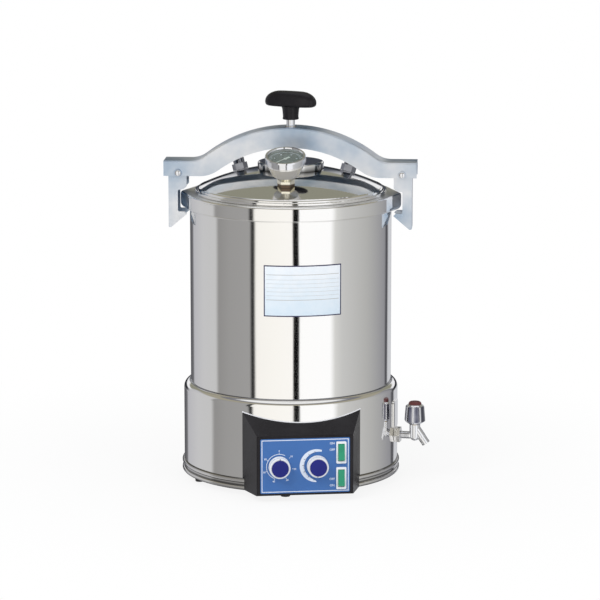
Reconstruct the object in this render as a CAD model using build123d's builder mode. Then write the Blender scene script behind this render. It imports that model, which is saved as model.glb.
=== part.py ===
from build123d import *
import os
from math import acos, atan2, cos, radians, sin, sqrt

# Portable steam autoclave. Millimetres, +Z up, origin on the drum's axis at the floor.
# The yoke lies along X, and the pressure gauge is on the -Y side of the lid.

# Clearances
slip = 0.05  # radial gap of a pin or shaft that turns or slides
seat = 0.15  # gap between curved faces that are pressed or welded together
air = 0.4  # gap between faces that pass each other
over = 1.0  # how far a cut runs past a face

# Drum and collar
drum_r = 142.0
drum_wall = 2.0
drum_floor_z = 88.0
drum_corner_r = 18.0
collar_step = 5.0
collar_r = drum_r + collar_step
collar_top_z = 406.2
collar_h = 20.5
collar_bottom_z = collar_top_z - collar_h
collar_plate = 5.0
mouth_ledge = 16.0
mouth_r = drum_r - mouth_ledge
ear_reach = 9.4
ear_tip_x = collar_r + ear_reach
ear_depth = 23.7
ear_inset = 0.5
ear_round = 8.0
ear_tip_round = 12.0
ear_block = 22.0
rim_round = 3.5

# Base
base_step = 9.7
base_r = drum_r + base_step
base_wall = 1.2
base_rise = 49.0
base_top_z = drum_floor_z + base_rise
drum_gap = 0.5
shoulder_flat = 0.4
shoulder_r = base_step - shoulder_flat
skirt_reach = 20.0
foot_h = 8.0
ring_h = 17.0
ring_top_z = foot_h + ring_h
bead_r = 3.25
bead_inset = 0.2
bead_at = base_r - bead_inset
band_inset = 1.7
ring_band_r = base_r - band_inset
valley_proud = 0.9
ring_valley_r = base_r + valley_proud
ring_wall = 4.2
ring_inner_r = base_r - ring_wall
ledge_w = 4.0
ledge_t = 2.0
ledge_root = 0.5
plate_t = 2.0
vents = 8
vent_circle_r = 95.0
vent_l = 50.0
vent_w = 6.0
foot_r = 7.5
foot_taper = 1.0
foot_inset = 9.0
foot_circle_r = ring_inner_r - foot_inset
foot_angles = (-154, -89, 63, 141)
foot_screw_r = 2.0
foot_screw_head_r = 3.6
foot_screw_head_h = 2.0
foot_screw_recess = 2.5
foot_screw_l = 14.5

# Control panel, measured in its own directions: across, up, and outwards from the drum's axis
panel_turn = 10.7
panel_reach = 20.3
panel_front = base_r + panel_reach
panel_half_front = 66.6
panel_half_back = 82.5
panel_sink = 0.3
panel_back = sqrt(base_r**2 - panel_half_back**2) - panel_sink
panel_bottom_z = 9.2
panel_top_front_z = 93.0
panel_top_back_z = 119.1
panel_top_dip = 11.8
panel_skin = 2.5
panel_edge_r = 2.0
panel_stations = (-1.0, -0.72, -0.4, 0.0, 0.4, 0.72, 1.0)
face_w = 124.0
face_h = 77.0
face_t = 2.0
face_z = 51.1
face_corner_r = 2.0
window_lip = 4.0
timer_across = -36.0
thermostat_across = 17.0
knob_z = 50.4
knob_skirt_r = 14.8
knob_skirt_t = 3.0
knob_barrel_r = 13.4
knob_barrel_h = 12.0
knob_top_r = 12.9
knob_flutes = 18
cap_r = 11.8
cap_t = 2.2
cap_edge_r = 0.8
skirt_taper = 8
knob_flute_r = 0.7
shaft_r = 3.0
shaft_hole_r = 4.5
control_r = 19.0
control_depth = 36.0
thermostat_r = 17.0
thermostat_depth = 30.0
switch_across = 50.0
switch_zs = {"upper": 68.7, "lower": 32.4}
switch_frame_w = 14.0
switch_frame_h = 31.0
switch_frame_t = 2.2
switch_body_w = 11.6
switch_body_h = 27.6
switch_body_depth = 14.0
switch_floor = 3.0
switch_corner_r = 1.5
rocker_w = 8.8
rocker_r = 12.2
rocker_proud = 4.6
rocker_dish = 1.3
rocker_back = 3.0
rocker_pivot_depth = 1.0
rocker_pin_r = 1.2
rocker_pin_l = 0.9
rocker_tilt = 9.0
window_room = 2.4
shell_window_half = switch_across + switch_body_w / 2 + window_room
shell_window_low_z = knob_z - control_r - window_room
shell_window_high_z = switch_zs["upper"] + switch_body_h / 2 + window_room
housing_overlap = 12.0
boss_r = 3.5
boss_inset = 11.0
boss_across = panel_half_back - boss_inset
boss_l = 16.0
boss_rise = 5.0
boss_zs = (ring_top_z + boss_rise, panel_top_front_z + boss_rise)
housing_screw_r = 1.6
housing_screw_head_r = 3.0
housing_screw_head_t = 1.8
housing_screw_l = 9.0

# Drain tap, in the upright plane that it lies in
tap_turn = -9.5
tap_z = 64.0
tap_pipe_r = 5.0
tap_bore_r = 3.2
tap_nut_flats = 20.0
tap_nut_t = 8.0
tap_reach = 28.7
tap_column_at = base_r + tap_reach
tap_column_r = 7.6
tap_column_h = 16.0
tap_column_top = tap_z + tap_column_h
spout_r = 6.25
spout_tip_r = 5.9
spout_tip_l = 10.0
spout_taper_l = 2.0
spout_bore_r = 4.2
spout_slope = 55.0
spout_rise = 12.5
spout_start_z = tap_z + spout_rise
spout_l = 28.7
spout_bore_l = 22.0
stem_r = 4.0
stem_rise = 2.0
stem_low_z = tap_z + stem_rise
stem_l = 38.0
stem_high_z = stem_low_z + stem_l
handle_gap = 1.0
handle_low_z = tap_column_top + handle_gap
handle_h = 28.0
handle_high_z = handle_low_z + handle_h
handle_r = 15.2
handle_top_r = 13.0
handle_sides = 8
handle_bevel = 1.6
handle_bevel_z = 5.0
tap_cap_r = 9.0
tap_cap_h = 4.0
tap_cap_edge_r = 3.0
cover_w = 28.0
cover_low_z = 75.0
cover_high_z = 113.5
cover_t = 1.5
cover_corner_r = 5.0
drain_at = 96.0
drain_pipe_r = 5.0
drain_pipe_wall = 1.5
drain_bend_r = 12.0
tap_tail = 8.7
pipe_inner_end = base_r - tap_tail

# Power inlet and terminal block at the back
inlet_z = 62.0
inlet_flange_w = 46.0
inlet_flange_h = 26.0
inlet_flange_t = 4.0
inlet_body_w = 30.0
inlet_body_h = 20.0
inlet_body_depth = 16.0
inlet_recess_w = 25.0
inlet_recess_h = 16.0
inlet_recess_depth = 15.0
inlet_corner_r = 2.0
inlet_pin_pitch = 7.0
inlet_pin_rise = 2.0
inlet_pin_w = 2.0
inlet_pin_h = 4.0
inlet_pin_l = 9.0
block_w = 60.0
block_d = 18.0
block_h = 16.0
block_gap = 43.5
block_y = ring_inner_r - block_gap
block_ways = 5
block_slot_w = 1.5
block_slot_depth = 5.0

# Inside the chamber
element_r = 4.0
element_rise = 20.0
element_z = drum_floor_z + element_rise
element_half = 92.0
element_straight = 4.0
element_corner_r = element_half - element_straight
element_leg_x = 18.0
element_leg_y = 50.0
element_leg_l = 14.0
element_leg_bottom_z = drum_floor_z - element_leg_l
element_bend_r = 12.0
element_top_straight = 2.0
element_shoulder_r = element_half - element_leg_x - element_bend_r - element_top_straight
heater_nut_flats = 17.0
heater_nut_t = 6.0
rack_gap = 20.0
rack_r = drum_r - drum_wall - rack_gap
rack_t = 2.0
rack_clear = 12.0
rack_z = element_z + element_r + rack_clear
rack_legs = 3
rack_leg_r = 4.0
rack_leg_circle_r = 70.0
rack_hole_r = 6.0
rack_hole_circles = (50.4, 96.0)
rack_hole_counts = (8, 14)
pail_inset = 3.0
pail_r = rack_r - pail_inset
pail_wall = 1.5
pail_h = 162.0
pail_rim_z = rack_z + rack_t + pail_h
pail_bead = 2.5
pail_drain_r = 6.0
pail_drain_at = 58.5
pail_drains = 8
pail_slot_w = 6.0
pail_slot_h = 40.0
pail_slots = 12
bail_wire_r = 2.0
bail_lug_t = 2.5
bail_lug_w = 14.0
bail_lug_drop = 20.0

# Lid
lid_overlap = 9.0
lid_r = mouth_r + lid_overlap
lid_t = 2.0
lid_flange_h = 4.8
lid_flange_top_z = collar_top_z + lid_flange_h
lid_flange_w = 4.0
lid_shoulder_r = lid_r - lid_flange_w
shoulder_w = 3.5
dome_edge_r = lid_shoulder_r - shoulder_w
shoulder_h = 3.8
dome_edge_z = lid_flange_top_z + shoulder_h
dome_h = 28.2
dome_apex_z = dome_edge_z + dome_h
lid_flange_round = 1.5
shoulder_bulge = 0.9
lid_lift_off = 0.5
gasket_t = 3.0
gasket_in_r = mouth_r + air
gasket_side_gap = 0.5
gasket_wall = 1.1
gasket_out_r = lid_r - gasket_wall - gasket_side_gap
lid_lip_gap = 0.5
lid_lip_r = mouth_r - lid_lip_gap
lid_lip_t = 2.5
lid_lip_in_r = lid_lip_r - lid_lip_t
lid_lip_drop = 3.2
lid_lip_low_z = collar_top_z - lid_lip_drop
disc_r = 46.5
disc_rise = 7.0
disc_top_z = dome_apex_z + disc_rise
disc_edge_r = 3.0
foot_socket_r = 8.0
foot_socket_depth = 4.5
foot_socket_z = disc_top_z - foot_socket_depth
retainer_r = 17.0
retainer_t = 3.5
retainer_edge_r = 1.0

# Pressure gauge, on the dome's own normal
gauge_out = 90.0
gauge_nut_flats = 21.0
gauge_nut_h = 9.0
gauge_neck_r = 6.5
gauge_case_bottom = 17.0
gauge_case_bottom_r = 19.0
gauge_case_r = 26.5
gauge_case_shoulder = 33.0
gauge_face = 43.5
gauge_case_wall = 1.2
gauge_bezel_r = 28.3
gauge_bezel_h = 7.0
gauge_bezel_lip = 3.2
bezel_top_t = 1.8
bezel_lip_bevel = 1.0
gauge_glass_t = 1.5
gauge_dial_depth = 5.0
gauge_dial_t = 0.8
gauge_movement_r = 14.0
needle_t = 0.6
needle_l = 19.0
needle_tail = 7.0
needle_w = 2.0
needle_hub_r = 2.5
needle_pin_r = 1.0
needle_pin_l = 10.0
needle_tip_w = 0.3
needle_zero = 225.0
lid_thread_r = 5.0
lid_thread_l = 9.0
lid_nut_flats = 16.0
lid_nut_t = 5.0
lid_nut_sag = 0.3

# Safety valve on the left and release valve on the right, both behind the yoke
safety_x = -74.0
safety_y = 40.0
release_x = 78.0
release_y = 40.0
valve_boss_r = 9.5
valve_boss_h = 9.0
valve_body_r = 8.0
safety_top = 26.0
safety_rod_r = 2.5
safety_rod_l = 14.0
safety_cap_r = 7.0
safety_cap_t = 3.6
safety_ring_r = 5.5
safety_wire_r = 1.1
release_top = 24.0
lever_l = 34.0
lever_t = 4.0
lever_w = 7.0
lever_pin_r = 2.5
lever_pin_l = 12.0
lever_hub_r = 6.0

# Yoke
yoke_w = 42.0
yoke_wall = 2.5
yoke_end_rise = 45.1
yoke_end_z = collar_top_z + yoke_end_rise
yoke_rise = 47.7
yoke_apex_z = yoke_end_z + yoke_rise
yoke_arch_r = 197.0
yoke_top_fillet = 35.0
yoke_end_depth = 21.5
yoke_mid_depth = 28.0
yoke_low_r = 171.0
yoke_low_fillet = 45.0
yoke_edge_r = 2.5
yoke_top_edges = 10  # five stretches of the top line, front and back
bush_r = 11.0
bush_spigot_r = 8.0
bush_drop = 25.0
bush_low_z = yoke_apex_z - bush_drop

# Hooks and their pins
pin_beyond_ear = 0.9
pin_x = ear_tip_x + pin_beyond_ear
pin_drop = 17.0
pin_z = yoke_end_z - pin_drop
yoke_overhang = 20.4
yoke_half = pin_x + yoke_overhang
pin_r = 4.0
pin_head_r = 5.6
pin_head_t = 2.6
pin_head_taper = 15
hook_half_y = 17.6
hook_wall = 2.5
hook_eye_r = 11.7
hook_in_x = pin_x - hook_eye_r
hook_web_out = 13.9
hook_out_x = pin_x + hook_web_out
hook_web_drop = 5.5
hook_web_top_z = pin_z - hook_web_drop
hook_shank_drop = 19.3
hook_shank_z = pin_z - hook_shank_drop
notch_round = 2.0
notch_clear = 1.6
notch_x = ear_tip_x + notch_clear
notch_lip = 3.0
notch_top_x = notch_x - notch_lip
notch_head = 3.6
notch_top_z = collar_top_z + notch_head
notch_foot = 3.5
jaw_top_z = collar_top_z - ear_depth - notch_foot
jaw_tip_in = 12.7
jaw_tip_x = notch_x - jaw_tip_in
jaw_flat_in = 9.0
jaw_flat_x = notch_x - jaw_flat_in
jaw_tip_drop = 3.5
jaw_tip_z = jaw_top_z - jaw_tip_drop
hook_bulge_x = jaw_flat_x
hook_bulge_rise = 1.8
hook_bulge_z = notch_top_z + hook_bulge_rise
hook_low_out = 9.5
hook_low_x = notch_x + hook_low_out
hook_low_drop = 22.5
hook_low_z = jaw_top_z - hook_low_drop
hook_corner = 0.6

# Spindle and knob
spindle_r = 6.0
spindle_foot_r = 7.9
spindle_foot_h = 4.3
knob_gap = 10.0
knob_neck_z = yoke_apex_z + knob_gap
knob_neck_low_r = 11.2
knob_neck_high_r = 12.4
knob_neck_h = 18.0
knob_bar_z = knob_neck_z + knob_neck_h
spindle_in_bar = 9.0
spindle_top_z = knob_bar_z + spindle_in_bar
knob_neck_overlap = 1.0
knob_turn = -20.0
knob_sections = ((0.0, 62.0, 25.0), (2.0, 71.0, 26.5), (5.0, 76.5, 27.0), (10.0, 73.5, 26.0),
                 (15.0, 62.0, 23.0), (19.0, 47.0, 17.0), (21.5, 31.0, 9.0))

# Directions of the panel and the tap
panel_across = Vector(cos(radians(panel_turn)), sin(radians(panel_turn)), 0)
panel_out = Vector(sin(radians(panel_turn)), -cos(radians(panel_turn)), 0)
tap_out = Vector(cos(radians(tap_turn)), sin(radians(tap_turn)), 0)

# The dome's outer sphere
dome_drop = dome_apex_z - dome_edge_z
dome_r = (dome_edge_r**2 + dome_drop**2) / (2 * dome_drop)
dome_centre_z = dome_apex_z - dome_r


def dome_plane(x, y, above=0.0):
    """A plane whose Z axis is the dome's normal over the point (x, y)."""
    z = dome_centre_z + sqrt(dome_r**2 - x * x - y * y)
    normal = Vector(x, y, z - dome_centre_z).normalized()
    side = Vector(0, 0, 1).cross(normal).normalized()
    return Plane(origin=Vector(x, y, z) + normal * above, x_dir=side, z_dir=normal)


def panel_face(out):
    """A plane that looks out of the panel: X across, Y up, at a distance from the drum's axis."""
    return Plane(origin=panel_out * out, x_dir=panel_across, z_dir=panel_out)


def panel_section(across):
    """An upright plane through the panel: X outwards, Y up."""
    return Plane(origin=panel_across * across, x_dir=panel_out, z_dir=-panel_across)


def tap_section(side=0.0):
    """The upright plane that the tap lies in: X outwards, Y up."""
    sideways = Vector(0, 0, 1).cross(tap_out)
    return Plane(origin=sideways * side, x_dir=tap_out, z_dir=-sideways)


def tap_level(out, z):
    """A level plane on the tap's radius."""
    return Plane(origin=tap_out * out + Vector(0, 0, z), x_dir=tap_out, z_dir=(0, 0, 1))


def save(piece, name):
    piece.part.label = name
    export_step(piece.part, f"parts/{name}.step")


os.makedirs("parts", exist_ok=True)

# Drum: a drawn pot, open at the top
pipe_hole_r = drain_pipe_r - drain_pipe_wall
collar_under_z = collar_top_z - collar_plate
with BuildPart() as chamber:
    with BuildSketch(Plane.XY.offset(drum_floor_z)):
        Circle(drum_r)
    extrude(amount=collar_under_z - drum_floor_z)
    fillet(chamber.edges().sort_by(Axis.Z)[0], drum_corner_r)
    offset(amount=-drum_wall, openings=chamber.faces().sort_by(Axis.Z)[-1])
    with BuildSketch(Plane.XY.offset(drum_floor_z)):
        with Locations((element_leg_x, element_leg_y), (-element_leg_x, element_leg_y)):
            Circle(element_r + slip)
        with Locations(tap_out * drain_at):
            Circle(pipe_hole_r)
    extrude(amount=drum_wall, mode=Mode.SUBTRACT)
save(chamber, "chamber")

# Collar: a flanged ring over the drum's edge, with a pointed ear at each end of X
ear_circle_r = collar_r - ear_inset
ear_angle = acos(ear_circle_r / ear_tip_x)
ear_x = ear_circle_r * cos(ear_angle)
ear_y = ear_circle_r * sin(ear_angle)
ear_bottom_z = collar_top_z - ear_depth
with BuildPart() as ear:
    with BuildSketch(Plane.XY.offset(ear_bottom_z)) as ear_plan:
        Polygon((ear_tip_x, 0), (ear_x, ear_y), (ear_x - ear_block, ear_y),
                (ear_x - ear_block, -ear_y), (ear_x, -ear_y), align=None)
        fillet(ear_plan.vertices().sort_by(Axis.X)[-1], ear_tip_round)
    extrude(amount=ear_depth)
    outer = ear.edges().filter_by(lambda edge: edge.center().X > ear_x + ear_inset)
    fillet(outer.group_by(Axis.Z)[0], ear_round)
    outer = ear.edges().filter_by(lambda edge: edge.center().X > ear_x + ear_inset)
    fillet(outer.group_by(Axis.Z)[-1], rim_round)

with BuildPart() as collar:
    with BuildSketch(Plane.XY.offset(collar_bottom_z)):
        Circle(collar_r)
    extrude(amount=collar_top_z - collar_bottom_z)
    fillet(collar.faces().sort_by(Axis.Z)[-1].edges(), rim_round)
    add(ear.part)
    add(ear.part.mirror(Plane.YZ))
    with BuildSketch(Plane.XY.offset(ear_bottom_z)):
        Circle(drum_r + seat)
    extrude(amount=collar_under_z - ear_bottom_z, mode=Mode.SUBTRACT)
    with BuildSketch(Plane.XY.offset(ear_bottom_z)):
        Circle(mouth_r)
    extrude(amount=ear_depth, mode=Mode.SUBTRACT)
save(collar, "collar")

# Base shell: a skirt whose shoulder closes on the drum
shell_inside = sqrt(base_r**2 - panel_half_back**2) - shoulder_r
with BuildPart() as base_shell:
    with BuildSketch(Plane.XY.offset(ring_top_z)):
        Circle(base_r)
    extrude(amount=base_top_z - ring_top_z)
    fillet(base_shell.edges().sort_by(Axis.Z)[-1], shoulder_r)
    offset(amount=-base_wall, openings=base_shell.faces().sort_by(Axis.Z)[0])
    with BuildSketch(Plane.XY.offset(base_top_z - shoulder_r)):
        Circle(drum_r + drum_gap)
    extrude(amount=shoulder_r, mode=Mode.SUBTRACT)
    with BuildSketch(panel_face(shell_inside)):
        with Locations((0, (shell_window_low_z + shell_window_high_z) / 2)):
            Rectangle(2 * shell_window_half, shell_window_high_z - shell_window_low_z)
        for boss_z in boss_zs:
            with Locations((-boss_across, boss_z), (boss_across, boss_z)):
                Circle(housing_screw_r + seat)
    extrude(amount=base_r - shell_inside, mode=Mode.SUBTRACT)
    with BuildSketch(Plane(origin=tap_out * (base_r - skirt_reach) + Vector(0, 0, tap_z), x_dir=(0, 0, 1),
                           z_dir=tap_out)):
        Circle(tap_pipe_r + seat)
    extrude(amount=skirt_reach + over, mode=Mode.SUBTRACT)
    with BuildSketch(Plane(origin=(0, base_r - skirt_reach, inlet_z), x_dir=(-1, 0, 0), z_dir=(0, 1, 0))):
        Rectangle(inlet_body_w + air, inlet_body_h + air)
    extrude(amount=skirt_reach + over, mode=Mode.SUBTRACT)
save(base_shell, "base_shell")

# Base ring: two rolled beads round a band, with a ledge inside for the base plate
with BuildPart() as base_ring:
    with BuildSketch(Plane.XZ):
        with Locations((ring_inner_r, foot_h)):
            Rectangle(ring_band_r - ring_inner_r, ring_top_z - foot_h, align=(Align.MIN, Align.MIN))
        with Locations((ring_inner_r, foot_h + bead_r)):
            Rectangle(ring_valley_r - ring_inner_r, ring_top_z - foot_h - 2 * bead_r, align=(Align.MIN, Align.MIN))
        with Locations((bead_at, foot_h + bead_r), (bead_at, ring_top_z - bead_r)):
            Circle(bead_r)
        with Locations((ring_inner_r - ledge_w, foot_h + plate_t)):
            Rectangle(ledge_w + ledge_root, ledge_t, align=(Align.MIN, Align.MIN))
    revolve(axis=Axis.Z)
save(base_ring, "base_ring")

# Base plate: a pressed disc with vent slots, screwed up against the ring's ledge
with BuildPart() as base_plate:
    with BuildSketch(Plane.XY.offset(foot_h)):
        Circle(ring_inner_r - seat)
        with PolarLocations(vent_circle_r, vents):
            SlotOverall(vent_l, vent_w, mode=Mode.SUBTRACT)
        for angle in foot_angles:
            with PolarLocations(foot_circle_r, 1, start_angle=angle):
                Circle(foot_screw_r + seat, mode=Mode.SUBTRACT)
    extrude(amount=plate_t)
save(base_plate, "base_plate")

# Feet: tapered rubber, recessed for their screws
with BuildPart() as feet:
    for angle in foot_angles:
        with PolarLocations(foot_circle_r, 1, start_angle=angle):
            Cone(foot_r - foot_taper, foot_r, foot_h, align=(Align.CENTER, Align.CENTER, Align.MIN))
            Hole(foot_screw_r + seat)
    for angle in foot_angles:
        with PolarLocations(foot_circle_r, 1, start_angle=angle):
            Cylinder(foot_screw_head_r + air, foot_screw_recess + foot_screw_head_h,
                     align=(Align.CENTER, Align.CENTER, Align.MIN), mode=Mode.SUBTRACT)
save(feet, "feet")

with BuildPart() as foot_screws:
    for angle in foot_angles:
        with PolarLocations(foot_circle_r, 1, start_angle=angle):
            with Locations((0, 0, foot_screw_recess)):
                Cylinder(foot_screw_head_r, foot_screw_head_h, align=(Align.CENTER, Align.CENTER, Align.MIN))
                Cylinder(foot_screw_r, foot_screw_l,
                         align=(Align.CENTER, Align.CENTER, Align.MIN))
save(foot_screws, "foot_screws")

# Heating element: a bent tube whose two legs pass through the drum's floor
leg_foot = (element_leg_x, element_leg_y, element_leg_bottom_z)
with BuildPart() as heating_element:
    with BuildLine() as element_path:
        FilletPolyline(
            leg_foot,
            (element_leg_x, element_leg_y, element_z),
            (element_leg_x, element_half, element_z),
            (element_half, element_half, element_z),
            (element_half, -element_half, element_z),
            (-element_half, -element_half, element_z),
            (-element_half, element_half, element_z),
            (-element_leg_x, element_half, element_z),
            (-element_leg_x, element_leg_y, element_z),
            (-element_leg_x, element_leg_y, element_leg_bottom_z),
            radius=[element_bend_r, element_bend_r, element_shoulder_r, element_corner_r,
                    element_corner_r, element_shoulder_r, element_bend_r, element_bend_r])
    with BuildSketch(Plane.XY.offset(element_leg_bottom_z)):
        with Locations((element_leg_x, element_leg_y)):
            Circle(element_r)
    sweep()
save(heating_element, "heating_element")

with BuildPart() as heater_nuts:
    with BuildSketch(Plane.XY.offset(drum_floor_z - heater_nut_t)):
        with Locations((element_leg_x, element_leg_y), (-element_leg_x, element_leg_y)):
            RegularPolygon(heater_nut_flats / 2, 6, major_radius=False)
            Circle(element_r + seat, mode=Mode.SUBTRACT)
    extrude(amount=heater_nut_t)
save(heater_nuts, "heater_nuts")

# Steam rack: a perforated plate on three legs over the element
chamber_floor_z = drum_floor_z + drum_wall
with BuildPart() as steam_rack:
    with BuildSketch(Plane.XY.offset(rack_z)):
        Circle(rack_r)
        for ring_r, ring_holes in zip(rack_hole_circles, rack_hole_counts):
            with PolarLocations(ring_r, ring_holes):
                Circle(rack_hole_r, mode=Mode.SUBTRACT)
    extrude(amount=rack_t)
    with BuildSketch(Plane.XY.offset(chamber_floor_z)):
        with PolarLocations(rack_leg_circle_r, rack_legs, start_angle=-90):
            Circle(rack_leg_r)
    extrude(amount=rack_z - chamber_floor_z)
save(steam_rack, "steam_rack")

# Instrument pail: a slotted can with a rolled rim and two lugs for its bail
pail_floor_z = rack_z + rack_t
bail_z = pail_rim_z + bail_wire_r + 2 * seat
lug_out = pail_r - pail_wall + seat
with BuildPart() as instrument_pail:
    with BuildSketch(Plane.XY.offset(pail_floor_z)):
        Circle(pail_r)
    extrude(amount=pail_rim_z - pail_bead - pail_floor_z)
    offset(amount=-pail_wall, openings=instrument_pail.faces().sort_by(Axis.Z)[-1])
    with BuildSketch(Plane.XZ):
        with Locations((pail_r, pail_rim_z - pail_bead)):
            Circle(pail_bead)
    revolve(axis=Axis.Z)
    for end in (1, -1):
        with BuildSketch(Plane(origin=(end * (lug_out - bail_lug_t), 0, 0), x_dir=(0, end, 0), z_dir=(end, 0, 0))):
            with Locations((0, bail_z)):
                Circle(bail_lug_w / 2)
                Rectangle(bail_lug_w, bail_lug_drop, align=(Align.CENTER, Align.MAX))
                Circle(bail_wire_r + slip, mode=Mode.SUBTRACT)
        extrude(amount=bail_lug_t)
    for turn in range(pail_slots // 2):
        side = radians((turn + 0.5) * 360 / pail_slots)
        with BuildSketch(Plane(origin=(0, 0, (pail_floor_z + pail_rim_z) / 2), x_dir=(0, 0, 1),
                               z_dir=(cos(side), sin(side), 0))):
            SlotOverall(pail_slot_h, pail_slot_w)
        extrude(amount=pail_r + pail_bead, both=True, mode=Mode.SUBTRACT)
    with BuildSketch(Plane.XY.offset(pail_floor_z)):
        with PolarLocations(pail_drain_at, pail_drains):
            Circle(pail_drain_r)
    extrude(amount=pail_wall, mode=Mode.SUBTRACT)
save(instrument_pail, "instrument_pail")

# Bail: a half hoop of wire that lies on the pail's rim, with its ends turned in through the lugs
bail_r = lug_out + bail_wire_r + air
with BuildPart() as pail_bail:
    with BuildLine(Plane.XY.offset(bail_z)):
        CenterArc((0, 0), bail_r, 180, 180)
    with BuildSketch(Plane(origin=(-bail_r, 0, bail_z), x_dir=(1, 0, 0), z_dir=(0, -1, 0))):
        Circle(bail_wire_r)
    sweep()
    for end in (1, -1):
        with BuildSketch(Plane(origin=(end * bail_r, 0, bail_z), x_dir=(0, 1, 0), z_dir=(-end, 0, 0))):
            Circle(bail_wire_r)
        extrude(amount=bail_r - lug_out + bail_lug_t + air)
        with Locations((end * bail_r, 0, bail_z)):
            Sphere(bail_wire_r)
save(pail_bail, "pail_bail")


# Panel housing: tapered sides, and a top that slopes from a straight front edge up to a dipped line on the skirt
def housing_block(skin):
    """The housing's outer form, or its hollow where skin is its wall."""
    lean = (panel_half_back - panel_half_front) / (panel_front - panel_back)
    side_skin = skin * sqrt(1 + lean * lean)
    half_front = panel_half_front + skin * lean - side_skin
    half_back = panel_half_back - side_skin
    front = panel_front - skin
    with BuildPart() as block:
        for share in panel_stations:
            across = share * (panel_half_back + over)
            back = sqrt(base_r**2 - across**2)
            crest_z = panel_top_back_z - panel_top_dip * (1 - share**2) - skin
            with BuildSketch(panel_section(across)):
                Polygon((back - housing_overlap, panel_bottom_z + skin), (front, panel_bottom_z + skin),
                        (front, panel_top_front_z - skin), (back, crest_z),
                        (back - housing_overlap, crest_z), align=None)
        loft()
        with BuildSketch(Plane(origin=(0, 0, panel_bottom_z), x_dir=panel_across, z_dir=(0, 0, 1))):
            Polygon((-half_front, -front), (half_front, -front), (half_back, -panel_back),
                    (half_back, -panel_back + 2 * housing_overlap),
                    (-half_back, -panel_back + 2 * housing_overlap), (-half_back, -panel_back), align=None)
        extrude(amount=panel_top_back_z - panel_bottom_z, mode=Mode.INTERSECT)
    return block.part


boss_inner = sqrt(base_r**2 - (boss_across + boss_r) ** 2)
face_back = panel_front - face_t
with BuildPart() as panel_housing:
    add(housing_block(0))
    front_face = panel_housing.faces().sort_by(Axis((0, 0, 0), panel_out))[-1]
    fillet(front_face.edges(), panel_edge_r)
    add(housing_block(panel_skin), mode=Mode.SUBTRACT)
    with BuildSketch(panel_face(boss_inner)):
        for boss_z in boss_zs:
            with Locations((-boss_across, boss_z), (boss_across, boss_z)):
                Circle(boss_r)
                Circle(housing_screw_r, mode=Mode.SUBTRACT)
    extrude(amount=boss_l)
    with BuildSketch(panel_face(face_back)):
        with Locations((0, face_z)):
            RectangleRounded(face_w + 2 * seat, face_h + 2 * seat, face_corner_r)
    extrude(amount=face_t, mode=Mode.SUBTRACT)
    with BuildSketch(panel_face(panel_front - 3 * panel_skin)):
        with Locations((0, face_z)):
            Rectangle(face_w - 2 * window_lip, face_h - 2 * window_lip)
    extrude(amount=3 * panel_skin, mode=Mode.SUBTRACT)
    with BuildSketch(Plane.XY.offset(panel_bottom_z - over)):
        Circle(base_r + seat)
    extrude(amount=panel_top_back_z - panel_bottom_z + 2 * over, mode=Mode.SUBTRACT)
    with BuildSketch(Plane.XY.offset(panel_bottom_z - over)):
        Circle(base_r + bead_r + seat)
    extrude(amount=ring_top_z + seat - panel_bottom_z + over, mode=Mode.SUBTRACT)
save(panel_housing, "panel_housing")

# Housing screws, from inside the skirt into the housing's bosses
screw_seat = sqrt((base_r - base_wall) ** 2 - (boss_across + housing_screw_head_r) ** 2)
with BuildPart() as housing_screws:
    spots = [(side * boss_across, boss_z) for side in (-1, 1) for boss_z in boss_zs]
    with BuildSketch(panel_face(screw_seat - housing_screw_head_t)):
        with Locations(*spots):
            Circle(housing_screw_head_r)
    extrude(amount=housing_screw_head_t)
    with BuildSketch(panel_face(screw_seat)):
        with Locations(*spots):
            Circle(housing_screw_r - slip)
    extrude(amount=housing_screw_l)
save(housing_screws, "housing_screws")

# Faceplate, with holes for the shafts and the switches
with BuildPart() as faceplate:
    with BuildSketch(panel_face(face_back)):
        with Locations((0, face_z)):
            RectangleRounded(face_w, face_h, face_corner_r)
        with Locations((timer_across, knob_z), (thermostat_across, knob_z)):
            Circle(shaft_hole_r, mode=Mode.SUBTRACT)
        for switch_z in switch_zs.values():
            with Locations((switch_across, switch_z)):
                Rectangle(switch_body_w + 2 * seat, switch_body_h + 2 * seat, mode=Mode.SUBTRACT)
    extrude(amount=face_t)
save(faceplate, "faceplate")


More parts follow.
